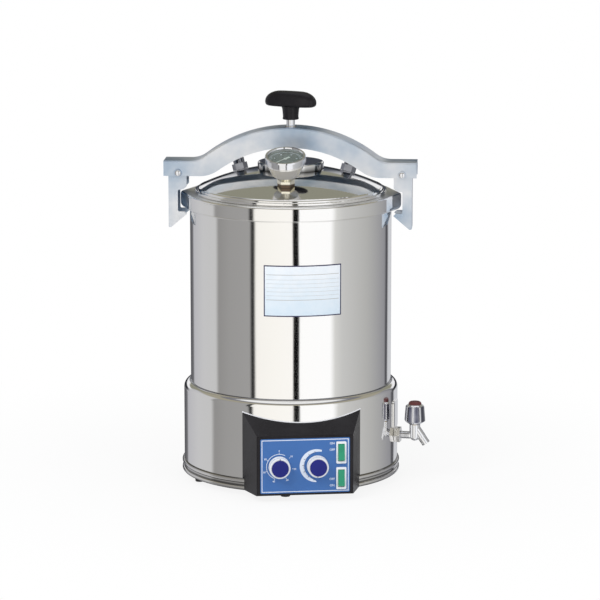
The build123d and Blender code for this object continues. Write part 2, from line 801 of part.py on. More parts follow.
# Controls: a body behind the faceplate, a shaft, a skirted knob and its cap
def control(name, across, body_r, depth):
    """One rotary control, as its four pieces."""
    knob_back = panel_front + air
    shaft_start = face_back - depth / 2
    with BuildPart() as body:
        with BuildSketch(panel_face(face_back - depth)):
            with Locations((across, knob_z)):
                Circle(body_r)
        extrude(amount=depth)
        with BuildSketch(panel_face(shaft_start)):
            with Locations((across, knob_z)):
                Circle(shaft_r + slip)
        extrude(amount=depth / 2, mode=Mode.SUBTRACT)
    with BuildPart() as shaft:
        with BuildSketch(panel_face(shaft_start)):
            with Locations((across, knob_z)):
                Circle(shaft_r)
        extrude(amount=panel_front + knob_barrel_h - cap_t - shaft_start)
    with BuildPart() as knob_piece:
        with BuildSketch(panel_face(knob_back)):
            with Locations((across, knob_z)):
                Circle(knob_skirt_r)
        extrude(amount=knob_skirt_t, taper=skirt_taper)
        with BuildSketch(panel_face(knob_back + knob_skirt_t)):
            with Locations((across, knob_z)):
                Circle(knob_barrel_r)
                with PolarLocations(knob_barrel_r, knob_flutes):
                    Circle(knob_flute_r, mode=Mode.SUBTRACT)
        extrude(amount=knob_barrel_h - knob_skirt_t)
        with BuildSketch(panel_face(knob_back)):
            with Locations((across, knob_z)):
                Circle(shaft_r + seat)
        extrude(amount=knob_barrel_h - cap_t, mode=Mode.SUBTRACT)
    with BuildPart() as cap:
        with BuildSketch(panel_face(knob_back + knob_barrel_h)):
            with Locations((across, knob_z)):
                Circle(cap_r)
        extrude(amount=cap_t)
        fillet(cap.faces().sort_by(Axis((0, 0, 0), panel_out))[-1].edges(), cap_edge_r)
    save(body, f"{name}_body")
    save(shaft, f"{name}_shaft")
    save(knob_piece, f"{name}_knob")
    save(cap, f"{name}_knob_cap")


control("timer", timer_across, control_r, control_depth)
control("thermostat", thermostat_across, thermostat_r, thermostat_depth)

# Rocker switches: a frame snapped into the faceplate, and a rocker on two stub pins
rocker_pivot = panel_front - rocker_pivot_depth
for row, switch_z in switch_zs.items():
    with BuildPart() as frame:
        with BuildSketch(panel_face(panel_front)):
            with Locations((switch_across, switch_z)):
                RectangleRounded(switch_frame_w, switch_frame_h, switch_corner_r)
        extrude(amount=switch_frame_t)
        with BuildSketch(panel_face(panel_front - switch_body_depth)):
            with Locations((switch_across, switch_z)):
                Rectangle(switch_body_w, switch_body_h)
        extrude(amount=switch_body_depth)
        with BuildSketch(panel_face(panel_front - switch_body_depth + switch_floor)):
            with Locations((switch_across, switch_z)):
                Rectangle(rocker_w + air, 2 * rocker_r + air)
        extrude(amount=switch_body_depth + switch_frame_t, mode=Mode.SUBTRACT)
        with BuildSketch(panel_section(switch_across + switch_frame_w / 2)):
            with Locations((rocker_pivot, switch_z)):
                Circle(rocker_pin_r + slip)
        extrude(amount=switch_frame_w, mode=Mode.SUBTRACT)
    save(frame, f"switch_frame_{row}")
    with BuildPart() as rocker:
        with BuildSketch(panel_section(switch_across + rocker_w / 2)):
            with Locations((rocker_pivot, switch_z)):
                Circle(rocker_r)
                Polygon((-rocker_back, -rocker_r), (rocker_proud + rocker_dish, -rocker_r), (rocker_proud, 0),
                        (rocker_proud + rocker_dish, rocker_r), (-rocker_back, rocker_r),
                        rotation=rocker_tilt, align=None, mode=Mode.INTERSECT)
        extrude(amount=rocker_w)
        with BuildSketch(panel_section(switch_across + rocker_w / 2 + rocker_pin_l)):
            with Locations((rocker_pivot, switch_z)):
                Circle(rocker_pin_r)
        extrude(amount=rocker_w + 2 * rocker_pin_l)
    save(rocker, f"rocker_{row}")

# Drain tap: pipe, upright column and sloping spout cast in one, bored for the flow and for the stem
slope = radians(spout_slope)
spout_axis = Vector(tap_out.X * cos(slope), tap_out.Y * cos(slope), -sin(slope))
spout_start = tap_out * tap_column_at + Vector(0, 0, spout_start_z)
spout_end = Plane(origin=spout_start + spout_axis * spout_l, z_dir=spout_axis)
tap_across = Plane(origin=tap_out * pipe_inner_end + Vector(0, 0, tap_z), x_dir=(0, 0, 1), z_dir=tap_out)
with BuildPart() as tap_body:
    with BuildSketch(tap_across):
        Circle(tap_pipe_r)
    extrude(amount=tap_column_at - pipe_inner_end)
    with BuildSketch(tap_level(tap_column_at, tap_z)):
        Circle(tap_column_r)
    extrude(amount=tap_column_top - tap_z)
    with Locations(tap_out * tap_column_at + Vector(0, 0, tap_z)):
        Sphere(tap_column_r)
    with BuildSketch(spout_end):
        Circle(spout_tip_r)
    extrude(amount=-spout_l)
    with BuildSketch(spout_end.offset(-spout_tip_l)):
        Circle(spout_tip_r)
    with BuildSketch(spout_end.offset(-spout_tip_l - spout_taper_l)):
        Circle(spout_r)
    loft()
    with BuildSketch(spout_end.offset(-spout_tip_l - spout_taper_l)):
        Circle(spout_r)
    extrude(amount=spout_tip_l + spout_taper_l - spout_l)
    with BuildSketch(spout_end):
        Circle(spout_bore_r)
    extrude(amount=-spout_bore_l, mode=Mode.SUBTRACT)
    with BuildSketch(tap_across):
        Circle(tap_bore_r)
    extrude(amount=tap_column_at - pipe_inner_end, mode=Mode.SUBTRACT)
    with BuildSketch(tap_level(tap_column_at, stem_low_z)):
        Circle(stem_r + slip)
    extrude(amount=tap_column_top + tap_column_r - stem_low_z, mode=Mode.SUBTRACT)
save(tap_body, "tap_body")

with BuildPart() as tap_nut:
    with BuildSketch(Plane(origin=tap_out * (base_r + seat) + Vector(0, 0, tap_z), x_dir=(0, 0, 1), z_dir=tap_out)):
        RegularPolygon(tap_nut_flats / 2, 6, major_radius=False, rotation=30)
        Circle(tap_pipe_r + seat, mode=Mode.SUBTRACT)
    extrude(amount=tap_nut_t)
save(tap_nut, "tap_nut")

with BuildPart() as tap_stem:
    with BuildSketch(tap_level(tap_column_at, stem_low_z)):
        Circle(stem_r)
    extrude(amount=stem_high_z - stem_low_z)
save(tap_stem, "tap_stem")

# Tap handle: a faceted cap, widest low down
handle_sections = ((handle_low_z, handle_top_r), (handle_low_z + handle_bevel_z, handle_r),
                   (handle_high_z - handle_bevel, handle_top_r), (handle_high_z, handle_top_r - handle_bevel))
with BuildPart() as tap_handle:
    for section_z, section_r in handle_sections:
        with BuildSketch(tap_level(tap_column_at, section_z)):
            RegularPolygon(section_r, handle_sides, rotation=180 / handle_sides)
    loft(ruled=True)
    with BuildSketch(tap_level(tap_column_at, handle_low_z)):
        Circle(stem_r + seat)
    extrude(amount=stem_high_z - handle_low_z, mode=Mode.SUBTRACT)
save(tap_handle, "tap_handle")

with BuildPart() as tap_cap:
    with BuildSketch(tap_level(tap_column_at, handle_high_z)):
        Circle(tap_cap_r)
    extrude(amount=tap_cap_h)
    fillet(tap_cap.edges().sort_by(Axis.Z)[-1], tap_cap_edge_r)
save(tap_cap, "tap_cap")

# Cover plate: a thin oblong plate curved to the skirt, above the tap
with BuildPart() as tap_cover_plate:
    with BuildSketch(Plane(origin=tap_out * pipe_inner_end, x_dir=tap_out.cross(Vector(0, 0, -1)), z_dir=tap_out)):
        with Locations((0, (cover_low_z + cover_high_z) / 2)):
            RectangleRounded(cover_w, cover_high_z - cover_low_z, cover_corner_r)
    extrude(amount=base_r + 2 * cover_t - pipe_inner_end)
    with BuildSketch(Plane.XY.offset(cover_low_z)):
        Circle(base_r + seat + cover_t)
    extrude(amount=cover_high_z - cover_low_z, mode=Mode.INTERSECT)
    with BuildSketch(Plane.XY.offset(cover_low_z)):
        Circle(base_r + seat)
    extrude(amount=cover_high_z - cover_low_z, mode=Mode.SUBTRACT)
save(tap_cover_plate, "tap_cover_plate")

with BuildPart() as drain_pipe:
    with BuildLine(tap_section()) as drain_path:
        FilletPolyline((drain_at, drum_floor_z), (drain_at, tap_z), (pipe_inner_end, tap_z), radius=drain_bend_r)
    with BuildSketch(tap_level(drain_at, drum_floor_z)):
        Circle(drain_pipe_r)
        Circle(pipe_hole_r, mode=Mode.SUBTRACT)
    sweep()
save(drain_pipe, "drain_pipe")

# Power inlet: a flange on the skirt, a body through it and a recess with three pins
inlet_face = base_r + inlet_flange_t - inlet_flange_w**2 / (8 * base_r)
inlet_plane = Plane(origin=(0, inlet_face, inlet_z), x_dir=(-1, 0, 0), z_dir=(0, 1, 0))
with BuildPart() as power_inlet:
    with BuildSketch(inlet_plane):
        RectangleRounded(inlet_flange_w, inlet_flange_h, inlet_corner_r)
    extrude(amount=-inlet_flange_t - inlet_flange_w**2 / (8 * base_r))
    with BuildSketch(Plane.XY.offset(inlet_z - inlet_flange_h)):
        Circle(base_r + seat)
    extrude(amount=2 * inlet_flange_h, mode=Mode.SUBTRACT)
    with BuildSketch(inlet_plane):
        Rectangle(inlet_body_w, inlet_body_h)
    extrude(amount=-inlet_body_depth)
    with BuildSketch(inlet_plane):
        RectangleRounded(inlet_recess_w, inlet_recess_h, inlet_corner_r)
    extrude(amount=-inlet_recess_depth, mode=Mode.SUBTRACT)
save(power_inlet, "power_inlet")

with BuildPart() as inlet_pins:
    with BuildSketch(inlet_plane.offset(-inlet_recess_depth)):
        with Locations((-inlet_pin_pitch, -inlet_pin_rise), (0, inlet_pin_rise), (inlet_pin_pitch, -inlet_pin_rise)):
            Rectangle(inlet_pin_w, inlet_pin_h)
    extrude(amount=inlet_pin_l)
save(inlet_pins, "inlet_pins")

with BuildPart() as terminal_block:
    with Locations((0, block_y, foot_h + plate_t)):
        Box(block_w, block_d, block_h, align=(Align.CENTER, Align.CENTER, Align.MIN))
    with Locations((0, block_y, foot_h + plate_t + block_h)):
        with GridLocations(block_w / block_ways, 0, block_ways - 1, 1):
            Box(block_slot_w, block_d, 2 * block_slot_depth, mode=Mode.SUBTRACT)
save(terminal_block, "terminal_block")

# Lid: a spun dome with a steep shoulder, a flange over the gasket and a lip that centres it in the mouth
flange_under_z = collar_top_z + lid_lift_off
groove_top_z = collar_top_z + gasket_t
dome_in_r = dome_r - lid_t
dome_mid_r = dome_edge_r / 2
dome_spots = {"gauge": (0.0, -gauge_out), "safety": (safety_x, safety_y), "release": (release_x, release_y)}
with BuildPart() as lid:
    with BuildSketch(Plane.XZ):
        with BuildLine():
            ThreePointArc((0, dome_apex_z), (dome_mid_r, dome_centre_z + sqrt(dome_r**2 - dome_mid_r**2)),
                          (dome_edge_r, dome_edge_z))
            SagittaArc((dome_edge_r, dome_edge_z), (lid_shoulder_r, lid_flange_top_z), shoulder_bulge)
            Line((lid_shoulder_r, lid_flange_top_z), (lid_r - lid_flange_round, lid_flange_top_z))
            SagittaArc((lid_r - lid_flange_round, lid_flange_top_z), (lid_r, lid_flange_top_z - lid_flange_round),
                       lid_flange_round * (1 - cos(radians(45))))
            Polyline((lid_r, lid_flange_top_z - lid_flange_round), (lid_r, flange_under_z),
                     (gasket_out_r + gasket_side_gap, flange_under_z), (gasket_out_r + gasket_side_gap, groove_top_z),
                     (lid_lip_r, groove_top_z), (lid_lip_r, lid_lip_low_z), (lid_lip_in_r, lid_lip_low_z),
                     (lid_lip_in_r, dome_centre_z + sqrt(dome_in_r**2 - lid_lip_in_r**2)))
            ThreePointArc((lid_lip_in_r, dome_centre_z + sqrt(dome_in_r**2 - lid_lip_in_r**2)),
                          (dome_mid_r, dome_centre_z + sqrt(dome_in_r**2 - dome_mid_r**2)), (0, dome_apex_z - lid_t))
            Line((0, dome_apex_z - lid_t), (0, dome_apex_z))
        make_face()
    revolve(axis=Axis.Z)
    for spot in dome_spots.values():
        with BuildSketch(dome_plane(*spot, above=-2 * lid_t)):
            Circle(lid_thread_r + seat)
        extrude(amount=4 * lid_t, mode=Mode.SUBTRACT)
save(lid, "lid")

with BuildPart() as lid_gasket:
    with BuildSketch(Plane.XY.offset(collar_top_z)):
        Circle(gasket_out_r)
        Circle(gasket_in_r, mode=Mode.SUBTRACT)
    extrude(amount=gasket_t)
save(lid_gasket, "lid_gasket")

# Disc on the dome's crown, with a socket for the spindle's foot, and the ring that keeps the foot in
with BuildPart() as lid_disc:
    with BuildSketch(Plane.XY.offset(disc_top_z)):
        Circle(disc_r)
    extrude(amount=dome_centre_z + sqrt(dome_r**2 - disc_r**2) - seat - disc_top_z)
    fillet(lid_disc.edges().sort_by(Axis.Z)[-1], disc_edge_r)
    with Locations((0, 0, dome_centre_z)):
        Sphere(dome_r + seat, mode=Mode.SUBTRACT)
    with BuildSketch(Plane.XY.offset(foot_socket_z)):
        Circle(foot_socket_r)
    extrude(amount=disc_top_z - foot_socket_z, mode=Mode.SUBTRACT)
save(lid_disc, "lid_disc")

with BuildPart() as spindle_retainer:
    with BuildSketch(Plane.XY.offset(disc_top_z)):
        Circle(retainer_r)
        Circle(spindle_r + slip, mode=Mode.SUBTRACT)
    extrude(amount=retainer_t)
    fillet(spindle_retainer.edges().group_by(Axis.Z)[-1].sort_by(SortBy.RADIUS)[-1], retainer_edge_r)
save(spindle_retainer, "spindle_retainer")

# Pressure gauge: it stands square to the dome
gauge_spot = dome_spots["gauge"]
gauge_normal = dome_plane(*gauge_spot).z_dir
gauge_section = Plane(origin=dome_plane(*gauge_spot).origin, x_dir=dome_plane(*gauge_spot).x_dir,
                      z_dir=dome_plane(*gauge_spot).x_dir.cross(gauge_normal))
gauge_axis = Axis(dome_plane(*gauge_spot).origin, gauge_normal)
with BuildPart() as gauge_stem:
    with BuildSketch(dome_plane(*gauge_spot, above=seat)):
        RegularPolygon(gauge_nut_flats / 2, 6, major_radius=False)
    extrude(amount=gauge_nut_h)
    with BuildSketch(dome_plane(*gauge_spot, above=seat)):
        Circle(gauge_neck_r)
    extrude(amount=gauge_case_bottom - seat)
    with BuildSketch(dome_plane(*gauge_spot, above=seat)):
        Circle(lid_thread_r)
    extrude(amount=-lid_thread_l)
save(gauge_stem, "gauge_stem")

case_in_r = gauge_case_r - gauge_case_wall
dial_top = gauge_face - gauge_dial_depth
with BuildPart() as gauge_case:
    with BuildSketch(gauge_section):
        Polygon((0, gauge_case_bottom), (gauge_case_bottom_r, gauge_case_bottom), (gauge_case_r, gauge_case_shoulder),
                (gauge_case_r, gauge_face), (case_in_r, gauge_face), (case_in_r, gauge_case_shoulder),
                (gauge_case_bottom_r - gauge_case_wall, gauge_case_bottom + gauge_case_wall),
                (0, gauge_case_bottom + gauge_case_wall), align=None)
    revolve(axis=gauge_axis)
save(gauge_case, "gauge_case")

with BuildPart() as gauge_bezel:
    with BuildSketch(gauge_section):
        Polygon((gauge_case_r + seat, gauge_face - gauge_bezel_h), (gauge_bezel_r, gauge_face - gauge_bezel_h),
                (gauge_bezel_r, gauge_face), (gauge_bezel_r - bezel_top_t / 2, gauge_face + bezel_top_t),
                (gauge_bezel_r - gauge_bezel_lip, gauge_face + bezel_top_t),
                (gauge_bezel_r - gauge_bezel_lip - bezel_lip_bevel, gauge_face + seat), (gauge_case_r + seat, gauge_face + seat),
                align=None)
    revolve(axis=gauge_axis)
save(gauge_bezel, "gauge_bezel")

with BuildPart() as gauge_glass:
    with BuildSketch(dome_plane(*gauge_spot, above=gauge_face - gauge_glass_t)):
        Circle(case_in_r - seat)
    extrude(amount=gauge_glass_t)
save(gauge_glass, "gauge_glass")

# The dial carries the movement behind it
with BuildPart() as gauge_dial:
    with BuildSketch(dome_plane(*gauge_spot, above=dial_top - gauge_dial_t)):
        Circle(case_in_r - seat)
    extrude(amount=gauge_dial_t)
    with BuildSketch(dome_plane(*gauge_spot, above=gauge_case_bottom + gauge_case_wall)):
        Circle(gauge_movement_r)
    extrude(amount=dial_top - gauge_case_bottom - gauge_case_wall - gauge_dial_t)
    with BuildSketch(dome_plane(*gauge_spot, above=dial_top - needle_pin_l)):
        Circle(needle_pin_r + slip)
    extrude(amount=needle_pin_l, mode=Mode.SUBTRACT)
save(gauge_dial, "gauge_dial")

with BuildPart() as gauge_needle:
    with BuildSketch(dome_plane(*gauge_spot, above=dial_top + air)):
        Polygon((0, needle_w / 2), (-needle_tail, needle_w), (-needle_tail, -needle_w), (0, -needle_w / 2),
                (needle_l, -needle_tip_w), (needle_l, needle_tip_w), rotation=needle_zero, align=None)
        Circle(needle_hub_r)
    extrude(amount=needle_t)
    with BuildSketch(dome_plane(*gauge_spot, above=dial_top + air + needle_t)):
        Circle(needle_pin_r)
    extrude(amount=-needle_pin_l)
save(gauge_needle, "gauge_needle")

with BuildPart() as lid_nuts:
    for spot in dome_spots.values():
        with BuildSketch(dome_plane(*spot, above=-lid_t - lid_nut_t - lid_nut_sag)):
            RegularPolygon(lid_nut_flats / 2, 6, major_radius=False)
            Circle(lid_thread_r + seat, mode=Mode.SUBTRACT)
        extrude(amount=lid_nut_t)
save(lid_nuts, "lid_nuts")


# Valves: a hexagon on the dome, a round body and a threaded tail
def valve_body(spot, top, bore_r, bore_depth):
    """A valve's fixed body, square to the dome."""
    with BuildPart() as body:
        with BuildSketch(dome_plane(*spot, above=seat)):
            RegularPolygon(valve_boss_r, 6, major_radius=False)
        extrude(amount=valve_boss_h)
        with BuildSketch(dome_plane(*spot, above=seat)):
            Circle(valve_body_r)
        extrude(amount=top - seat)
        with BuildSketch(dome_plane(*spot, above=seat)):
            Circle(lid_thread_r)
        extrude(amount=-lid_thread_l)
        with BuildSketch(dome_plane(*spot, above=top - bore_depth)):
            Circle(bore_r + slip)
        extrude(amount=bore_depth, mode=Mode.SUBTRACT)
    return body


safety_spot = dome_spots["safety"]
save(valve_body(safety_spot, safety_top, safety_rod_r, safety_rod_l), "safety_valve_body")

cap_low = safety_top + air
ring_centre = cap_low + safety_cap_t + safety_ring_r
with BuildPart() as safety_valve_stem:
    with BuildSketch(dome_plane(*safety_spot, above=cap_low)):
        Circle(safety_cap_r)
    extrude(amount=safety_cap_t)
    with BuildSketch(dome_plane(*safety_spot, above=cap_low)):
        Circle(safety_rod_r)
    extrude(amount=-safety_rod_l)
    ring_plane = dome_plane(*safety_spot, above=ring_centre)
    with BuildSketch(Plane(origin=ring_plane.origin, x_dir=ring_plane.x_dir, z_dir=ring_plane.z_dir)):
        with Locations((safety_ring_r, 0)):
            Circle(safety_wire_r)
    revolve(axis=Axis(ring_plane.origin, ring_plane.y_dir))
save(safety_valve_stem, "safety_valve_stem")

release_spot = dome_spots["release"]
save(valve_body(release_spot, release_top, lever_pin_r, lever_pin_l), "release_valve_body")

with BuildPart() as release_lever:
    with BuildSketch(dome_plane(*release_spot, above=release_top + air)):
        Circle(lever_hub_r)
        with Locations((0, -lever_l / 2)):
            SlotOverall(lever_l + lever_w, lever_w, rotation=90)
    extrude(amount=lever_t)
    with BuildSketch(dome_plane(*release_spot, above=release_top + air)):
        Circle(lever_pin_r)
    extrude(amount=-lever_pin_l)
save(release_lever, "release_lever")


# Yoke: an arched channel that opens downwards
def arch_line(flat_z, apex_z, arch_r, bend_r):
    """Where an arch and its flat ends meet their bend: the flat's end, the bend's middle, the arch's end."""
    arch_centre_z = apex_z - arch_r
    reach = arch_r + bend_r
    bend_z = flat_z + bend_r
    bend_x = sqrt(reach**2 - (bend_z - arch_centre_z) ** 2)
    end = (bend_x * arch_r / reach, arch_centre_z + (bend_z - arch_centre_z) * arch_r / reach)
    mid = Vector(end[0] - bend_x, end[1] - bend_z - bend_r).normalized() * bend_r
    return (bend_x, flat_z), (bend_x + mid.X, bend_z + mid.Y), end


def arch_outline(flat_z, apex_z, arch_r, bend_r, half):
    """The line over an arch with flat ends, from left to right."""
    flat, middle, end = arch_line(flat_z, apex_z, arch_r, bend_r)
    Line((-half, flat_z), (-flat[0], flat_z))
    ThreePointArc((-flat[0], flat_z), (-middle[0], middle[1]), (-end[0], end[1]))
    ThreePointArc((-end[0], end[1]), (0, apex_z), end)
    ThreePointArc(end, middle, flat)
    Line(flat, (half, flat_z))


def top_gap(point):
    """How far a point lies below the yoke's top line."""
    flat, _, end = arch_line(yoke_end_z, yoke_apex_z, yoke_arch_r, yoke_top_fillet)
    if abs(point.X) > flat[0]:
        return yoke_end_z - point.Z
    if abs(point.X) > end[0]:
        bend_z = yoke_end_z + yoke_top_fillet
        return bend_z - sqrt(yoke_top_fillet**2 - (flat[0] - abs(point.X)) ** 2) - point.Z
    return yoke_apex_z - yoke_arch_r + sqrt(yoke_arch_r**2 - point.X**2) - point.Z


yoke_end_low_z = yoke_end_z - yoke_end_depth
with BuildPart() as yoke:
    with BuildSketch(Plane.XZ):
        with BuildLine():
            arch_outline(yoke_end_z, yoke_apex_z, yoke_arch_r, yoke_top_fillet, yoke_half)
            Line((yoke_half, yoke_end_z), (yoke_half, yoke_end_low_z))
            arch_outline(yoke_end_low_z, yoke_apex_z - yoke_mid_depth, yoke_low_r, yoke_low_fillet, yoke_half)
            Line((-yoke_half, yoke_end_low_z), (-yoke_half, yoke_end_z))
        make_face()
    extrude(amount=yoke_w / 2, both=True)
    long_edges = yoke.edges().filter_by(lambda edge: abs(abs(edge.center().Y) - yoke_w / 2) < seat)
    fillet(long_edges.sort_by(lambda edge: top_gap(edge @ 0.5))[:yoke_top_edges], yoke_edge_r)
    with BuildSketch(Plane.XZ):
        with BuildLine():
            arch_outline(yoke_end_z - yoke_wall, yoke_apex_z - yoke_wall, yoke_arch_r - yoke_wall,
                         yoke_top_fillet + yoke_wall, yoke_half + over)
            Polyline((yoke_half + over, yoke_end_z - yoke_wall), (yoke_half + over, pin_z - yoke_w),
                     (-yoke_half - over, pin_z - yoke_w), (-yoke_half - over, yoke_end_z - yoke_wall))
        make_face()
    extrude(amount=yoke_w / 2 - yoke_wall, both=True, mode=Mode.SUBTRACT)
    with BuildSketch(Plane.XY.offset(yoke_apex_z - 3 * yoke_wall)):
        Circle(bush_spigot_r + seat)
    extrude(amount=4 * yoke_wall, mode=Mode.SUBTRACT)
    with BuildSketch(Plane.XZ):
        with Locations((pin_x, pin_z), (-pin_x, pin_z)):
            Circle(pin_r + slip)
    extrude(amount=yoke_w, both=True, mode=Mode.SUBTRACT)
save(yoke, "yoke")

bush_seat_z = yoke_apex_z - yoke_arch_r + sqrt((yoke_arch_r - yoke_wall) ** 2 - bush_r**2)
with BuildPart() as yoke_bush:
    with BuildSketch(Plane.XY.offset(bush_low_z)):
        Circle(bush_r)
        Circle(spindle_r + slip, mode=Mode.SUBTRACT)
    extrude(amount=bush_seat_z - bush_low_z)
    with BuildSketch(Plane.XY.offset(bush_seat_z)):
        Circle(bush_spigot_r)
        Circle(spindle_r + slip, mode=Mode.SUBTRACT)
    extrude(amount=yoke_apex_z - bush_seat_z)
save(yoke_bush, "yoke_bush")

with BuildPart() as hook_pins:
    with BuildSketch(Plane.XZ):
        with Locations((pin_x, pin_z), (-pin_x, pin_z)):
            Circle(pin_r)
    extrude(amount=yoke_w / 2, both=True)
    for side in (1, -1):
        with BuildSketch(Plane.XZ.offset(side * yoke_w / 2)):
            with Locations((pin_x, pin_z), (-pin_x, pin_z)):
                Circle(pin_head_r)
        extrude(amount=side * pin_head_t, taper=pin_head_taper)
save(hook_pins, "hook_pins")

# Hooks: channel legs with an eye at the top and a notch and jaw that catch the collar's ears
corner = (hook_out_x - pin_x, hook_web_top_z - pin_z)
corner_turn = atan2(corner[1], corner[0]) + acos(hook_eye_r / sqrt(corner[0] ** 2 + corner[1] ** 2))
shoulder = (pin_x + hook_eye_r * cos(corner_turn), pin_z + hook_eye_r * sin(corner_turn))
with BuildPart() as hook_right:
    with BuildSketch(Plane.XZ):
        with BuildLine():
            Line((hook_in_x, pin_z), (hook_in_x, hook_shank_z))
            ThreePointArc((hook_in_x, hook_shank_z), (hook_bulge_x, hook_bulge_z), (notch_top_x, notch_top_z))
            Polyline((notch_top_x, notch_top_z), (notch_x, notch_top_z), (notch_x, jaw_top_z),
                     (jaw_flat_x, jaw_top_z), (jaw_tip_x, jaw_tip_z), (hook_low_x, hook_low_z),
                     (hook_out_x - hook_corner, hook_low_z), (hook_out_x, hook_low_z + hook_corner),
                     (hook_out_x, hook_web_top_z),
                     shoulder, (pin_x, pin_z), (hook_in_x, pin_z))
        make_face()
        with Locations((pin_x, pin_z)):
            Circle(hook_eye_r)
    extrude(amount=hook_half_y, both=True)
    inner_corners = hook_right.edges().filter_by(Axis.Y).filter_by(
        lambda edge: abs(edge.center().X - notch_x) < seat)
    fillet(inner_corners, notch_round)
    with BuildSketch(Plane.XZ):
        with Locations((hook_out_x - hook_wall, pin_z + hook_eye_r + over)):
            Rectangle(2 * hook_eye_r + hook_out_x, pin_z, align=(Align.MAX, Align.MAX))
    extrude(amount=hook_half_y - hook_wall, both=True, mode=Mode.SUBTRACT)
    with BuildSketch(Plane.XZ):
        with Locations((pin_x, pin_z)):
            Circle(pin_r + slip)
    extrude(amount=yoke_w, both=True, mode=Mode.SUBTRACT)
save(hook_right, "hook_right")

with BuildPart() as hook_left:
    add(hook_right.part.mirror(Plane.YZ))
save(hook_left, "hook_left")

# Spindle: its foot turns in the lid disc's socket, and its shank passes through the yoke's bush
with BuildPart() as spindle:
    with BuildSketch(Plane.XY.offset(foot_socket_z)):
        Circle(spindle_foot_r)
    extrude(amount=spindle_foot_h)
    with BuildSketch(Plane.XY.offset(foot_socket_z)):
        Circle(spindle_r)
    extrude(amount=spindle_top_z - foot_socket_z)
save(spindle, "spindle")

# Knob: a tapered neck under a rounded T-bar
with BuildPart() as knob:
    with BuildSketch(Plane.XY.offset(knob_neck_z)):
        Circle(knob_neck_low_r)
    with BuildSketch(Plane.XY.offset(knob_bar_z + knob_neck_overlap)):
        Circle(knob_neck_high_r)
    loft()
    for height, length, width in knob_sections:
        with BuildSketch(Plane.XY.offset(knob_bar_z + height)):
            SlotOverall(length, width, rotation=knob_turn)
    loft()
    with BuildSketch(Plane.XY.offset(knob_neck_z)):
        Circle(spindle_r + seat)
    extrude(amount=spindle_top_z + seat - knob_neck_z, mode=Mode.SUBTRACT)
save(knob, "knob")
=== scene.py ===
# %% [markdown]
# # A portable electric steam autoclave
#
# The object is a polished steel pressure drum on a skirted base, with a domed lid held down by a
# yoke, a screw and two hooks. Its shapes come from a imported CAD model. This script gives them their
# finishes, adds the fine detail that a CAD model leaves out, and lights them as a product
# photograph.

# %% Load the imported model
from math import atan2, cos, degrees, pi, radians, sin, sqrt

import bmesh
import bpy
from mathutils import Matrix, Vector


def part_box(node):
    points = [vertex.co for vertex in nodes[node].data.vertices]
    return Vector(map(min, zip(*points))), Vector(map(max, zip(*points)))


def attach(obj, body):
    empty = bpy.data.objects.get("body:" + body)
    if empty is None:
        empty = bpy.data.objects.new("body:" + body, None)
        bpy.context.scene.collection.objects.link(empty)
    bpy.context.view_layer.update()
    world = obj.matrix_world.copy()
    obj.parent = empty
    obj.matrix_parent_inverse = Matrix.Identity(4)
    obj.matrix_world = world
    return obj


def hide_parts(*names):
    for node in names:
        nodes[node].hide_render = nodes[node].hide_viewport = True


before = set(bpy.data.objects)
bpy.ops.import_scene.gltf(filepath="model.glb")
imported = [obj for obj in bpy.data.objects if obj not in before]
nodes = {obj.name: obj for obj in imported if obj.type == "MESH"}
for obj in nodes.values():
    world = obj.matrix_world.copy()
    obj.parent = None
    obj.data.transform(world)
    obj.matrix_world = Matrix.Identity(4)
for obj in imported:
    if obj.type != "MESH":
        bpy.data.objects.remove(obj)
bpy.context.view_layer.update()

scene = bpy.context.scene
scene.view_settings.view_transform = "Standard"
MM = 0.001

# %% [markdown]
# ## The camera
#
# A product like this is photographed from some way off with a long lens, so that its upright sides
# stay parallel in the picture. The camera stands well above the lid and looks down by about eleven
# degrees. It is placed by its real distance and height, and turned towards one point on the drum.


# %% The camera
def aim_at(thing, target):
    """Turns a camera or a lamp towards a point."""
    thing.rotation_euler = (target - thing.location).to_track_quat("-Z", "Y").to_euler()


camera_turn = radians(4.14)
camera_distance, camera_height = 4.5, 1.107
aim_right, aim_height = 0.013, 0.2507
to_camera = Vector((sin(camera_turn), -cos(camera_turn), 0.0))
to_right = Vector((cos(camera_turn), sin(camera_turn), 0.0))

camera_data = bpy.data.cameras.new("product_camera")
camera_data.sensor_width = 36.0
camera_data.lens = 193.94
camera = bpy.data.objects.new("product_camera", camera_data)
scene.collection.objects.link(camera)
camera.location = to_camera * camera_distance + Vector((0.0, 0.0, camera_height))
aim_at(camera, to_right * aim_right + Vector((0.0, 0.0, aim_height)))
scene.camera = camera
tilt = degrees(atan2(camera_height - aim_height, camera_distance))
print("camera looks down by", round(tilt, 1), "degrees")

# %% [markdown]
# ## The studio
#
# Polished steel has almost no colour of its own: it shows the room. A photographer stands white
# cards and dark cards round such a drum, and their reflections give it its upright stripes. Here
# the world holds the cards. One colour ramp goes round the horizon, from directly behind the
# object, past the left, the front and the right, and back again. An upright wall shows only what
# stands low in the room, because the camera looks down on it. The dome looks up at the far side
# instead, so that side has a wall of its own: a dark strip low down, a pale one above it, and then
# the olive ceiling, which turns white overhead. The ceiling in front is soft grey with one warm
# strip across it. All of it is fixed in the room, so the reflections stay true when the camera
# walks round the object.
#
# The camera itself sees a plain white backdrop, and so does glass. Matt surfaces are lit by an even
# white.


# %% Helpers for node trees
def feed(tree, node, values):
    """Fills inputs of a node, by name or number. A value is plain or another node's output."""
    for key, value in values.items():
        socket = node.inputs[key]
        if isinstance(value, bpy.types.NodeSocket):
            tree.links.new(value, socket)
        else:
            socket.default_value = (*value, 1.0) if socket.type == "RGBA" else value


def add_node(tree, kind, values=None, **settings):
    """A new node with inputs filled. Its settings, such as operation, are given by name."""
    node = tree.nodes.new(kind)
    for key, value in settings.items():
        setattr(node, key, value)
    feed(tree, node, values or {})
    return node


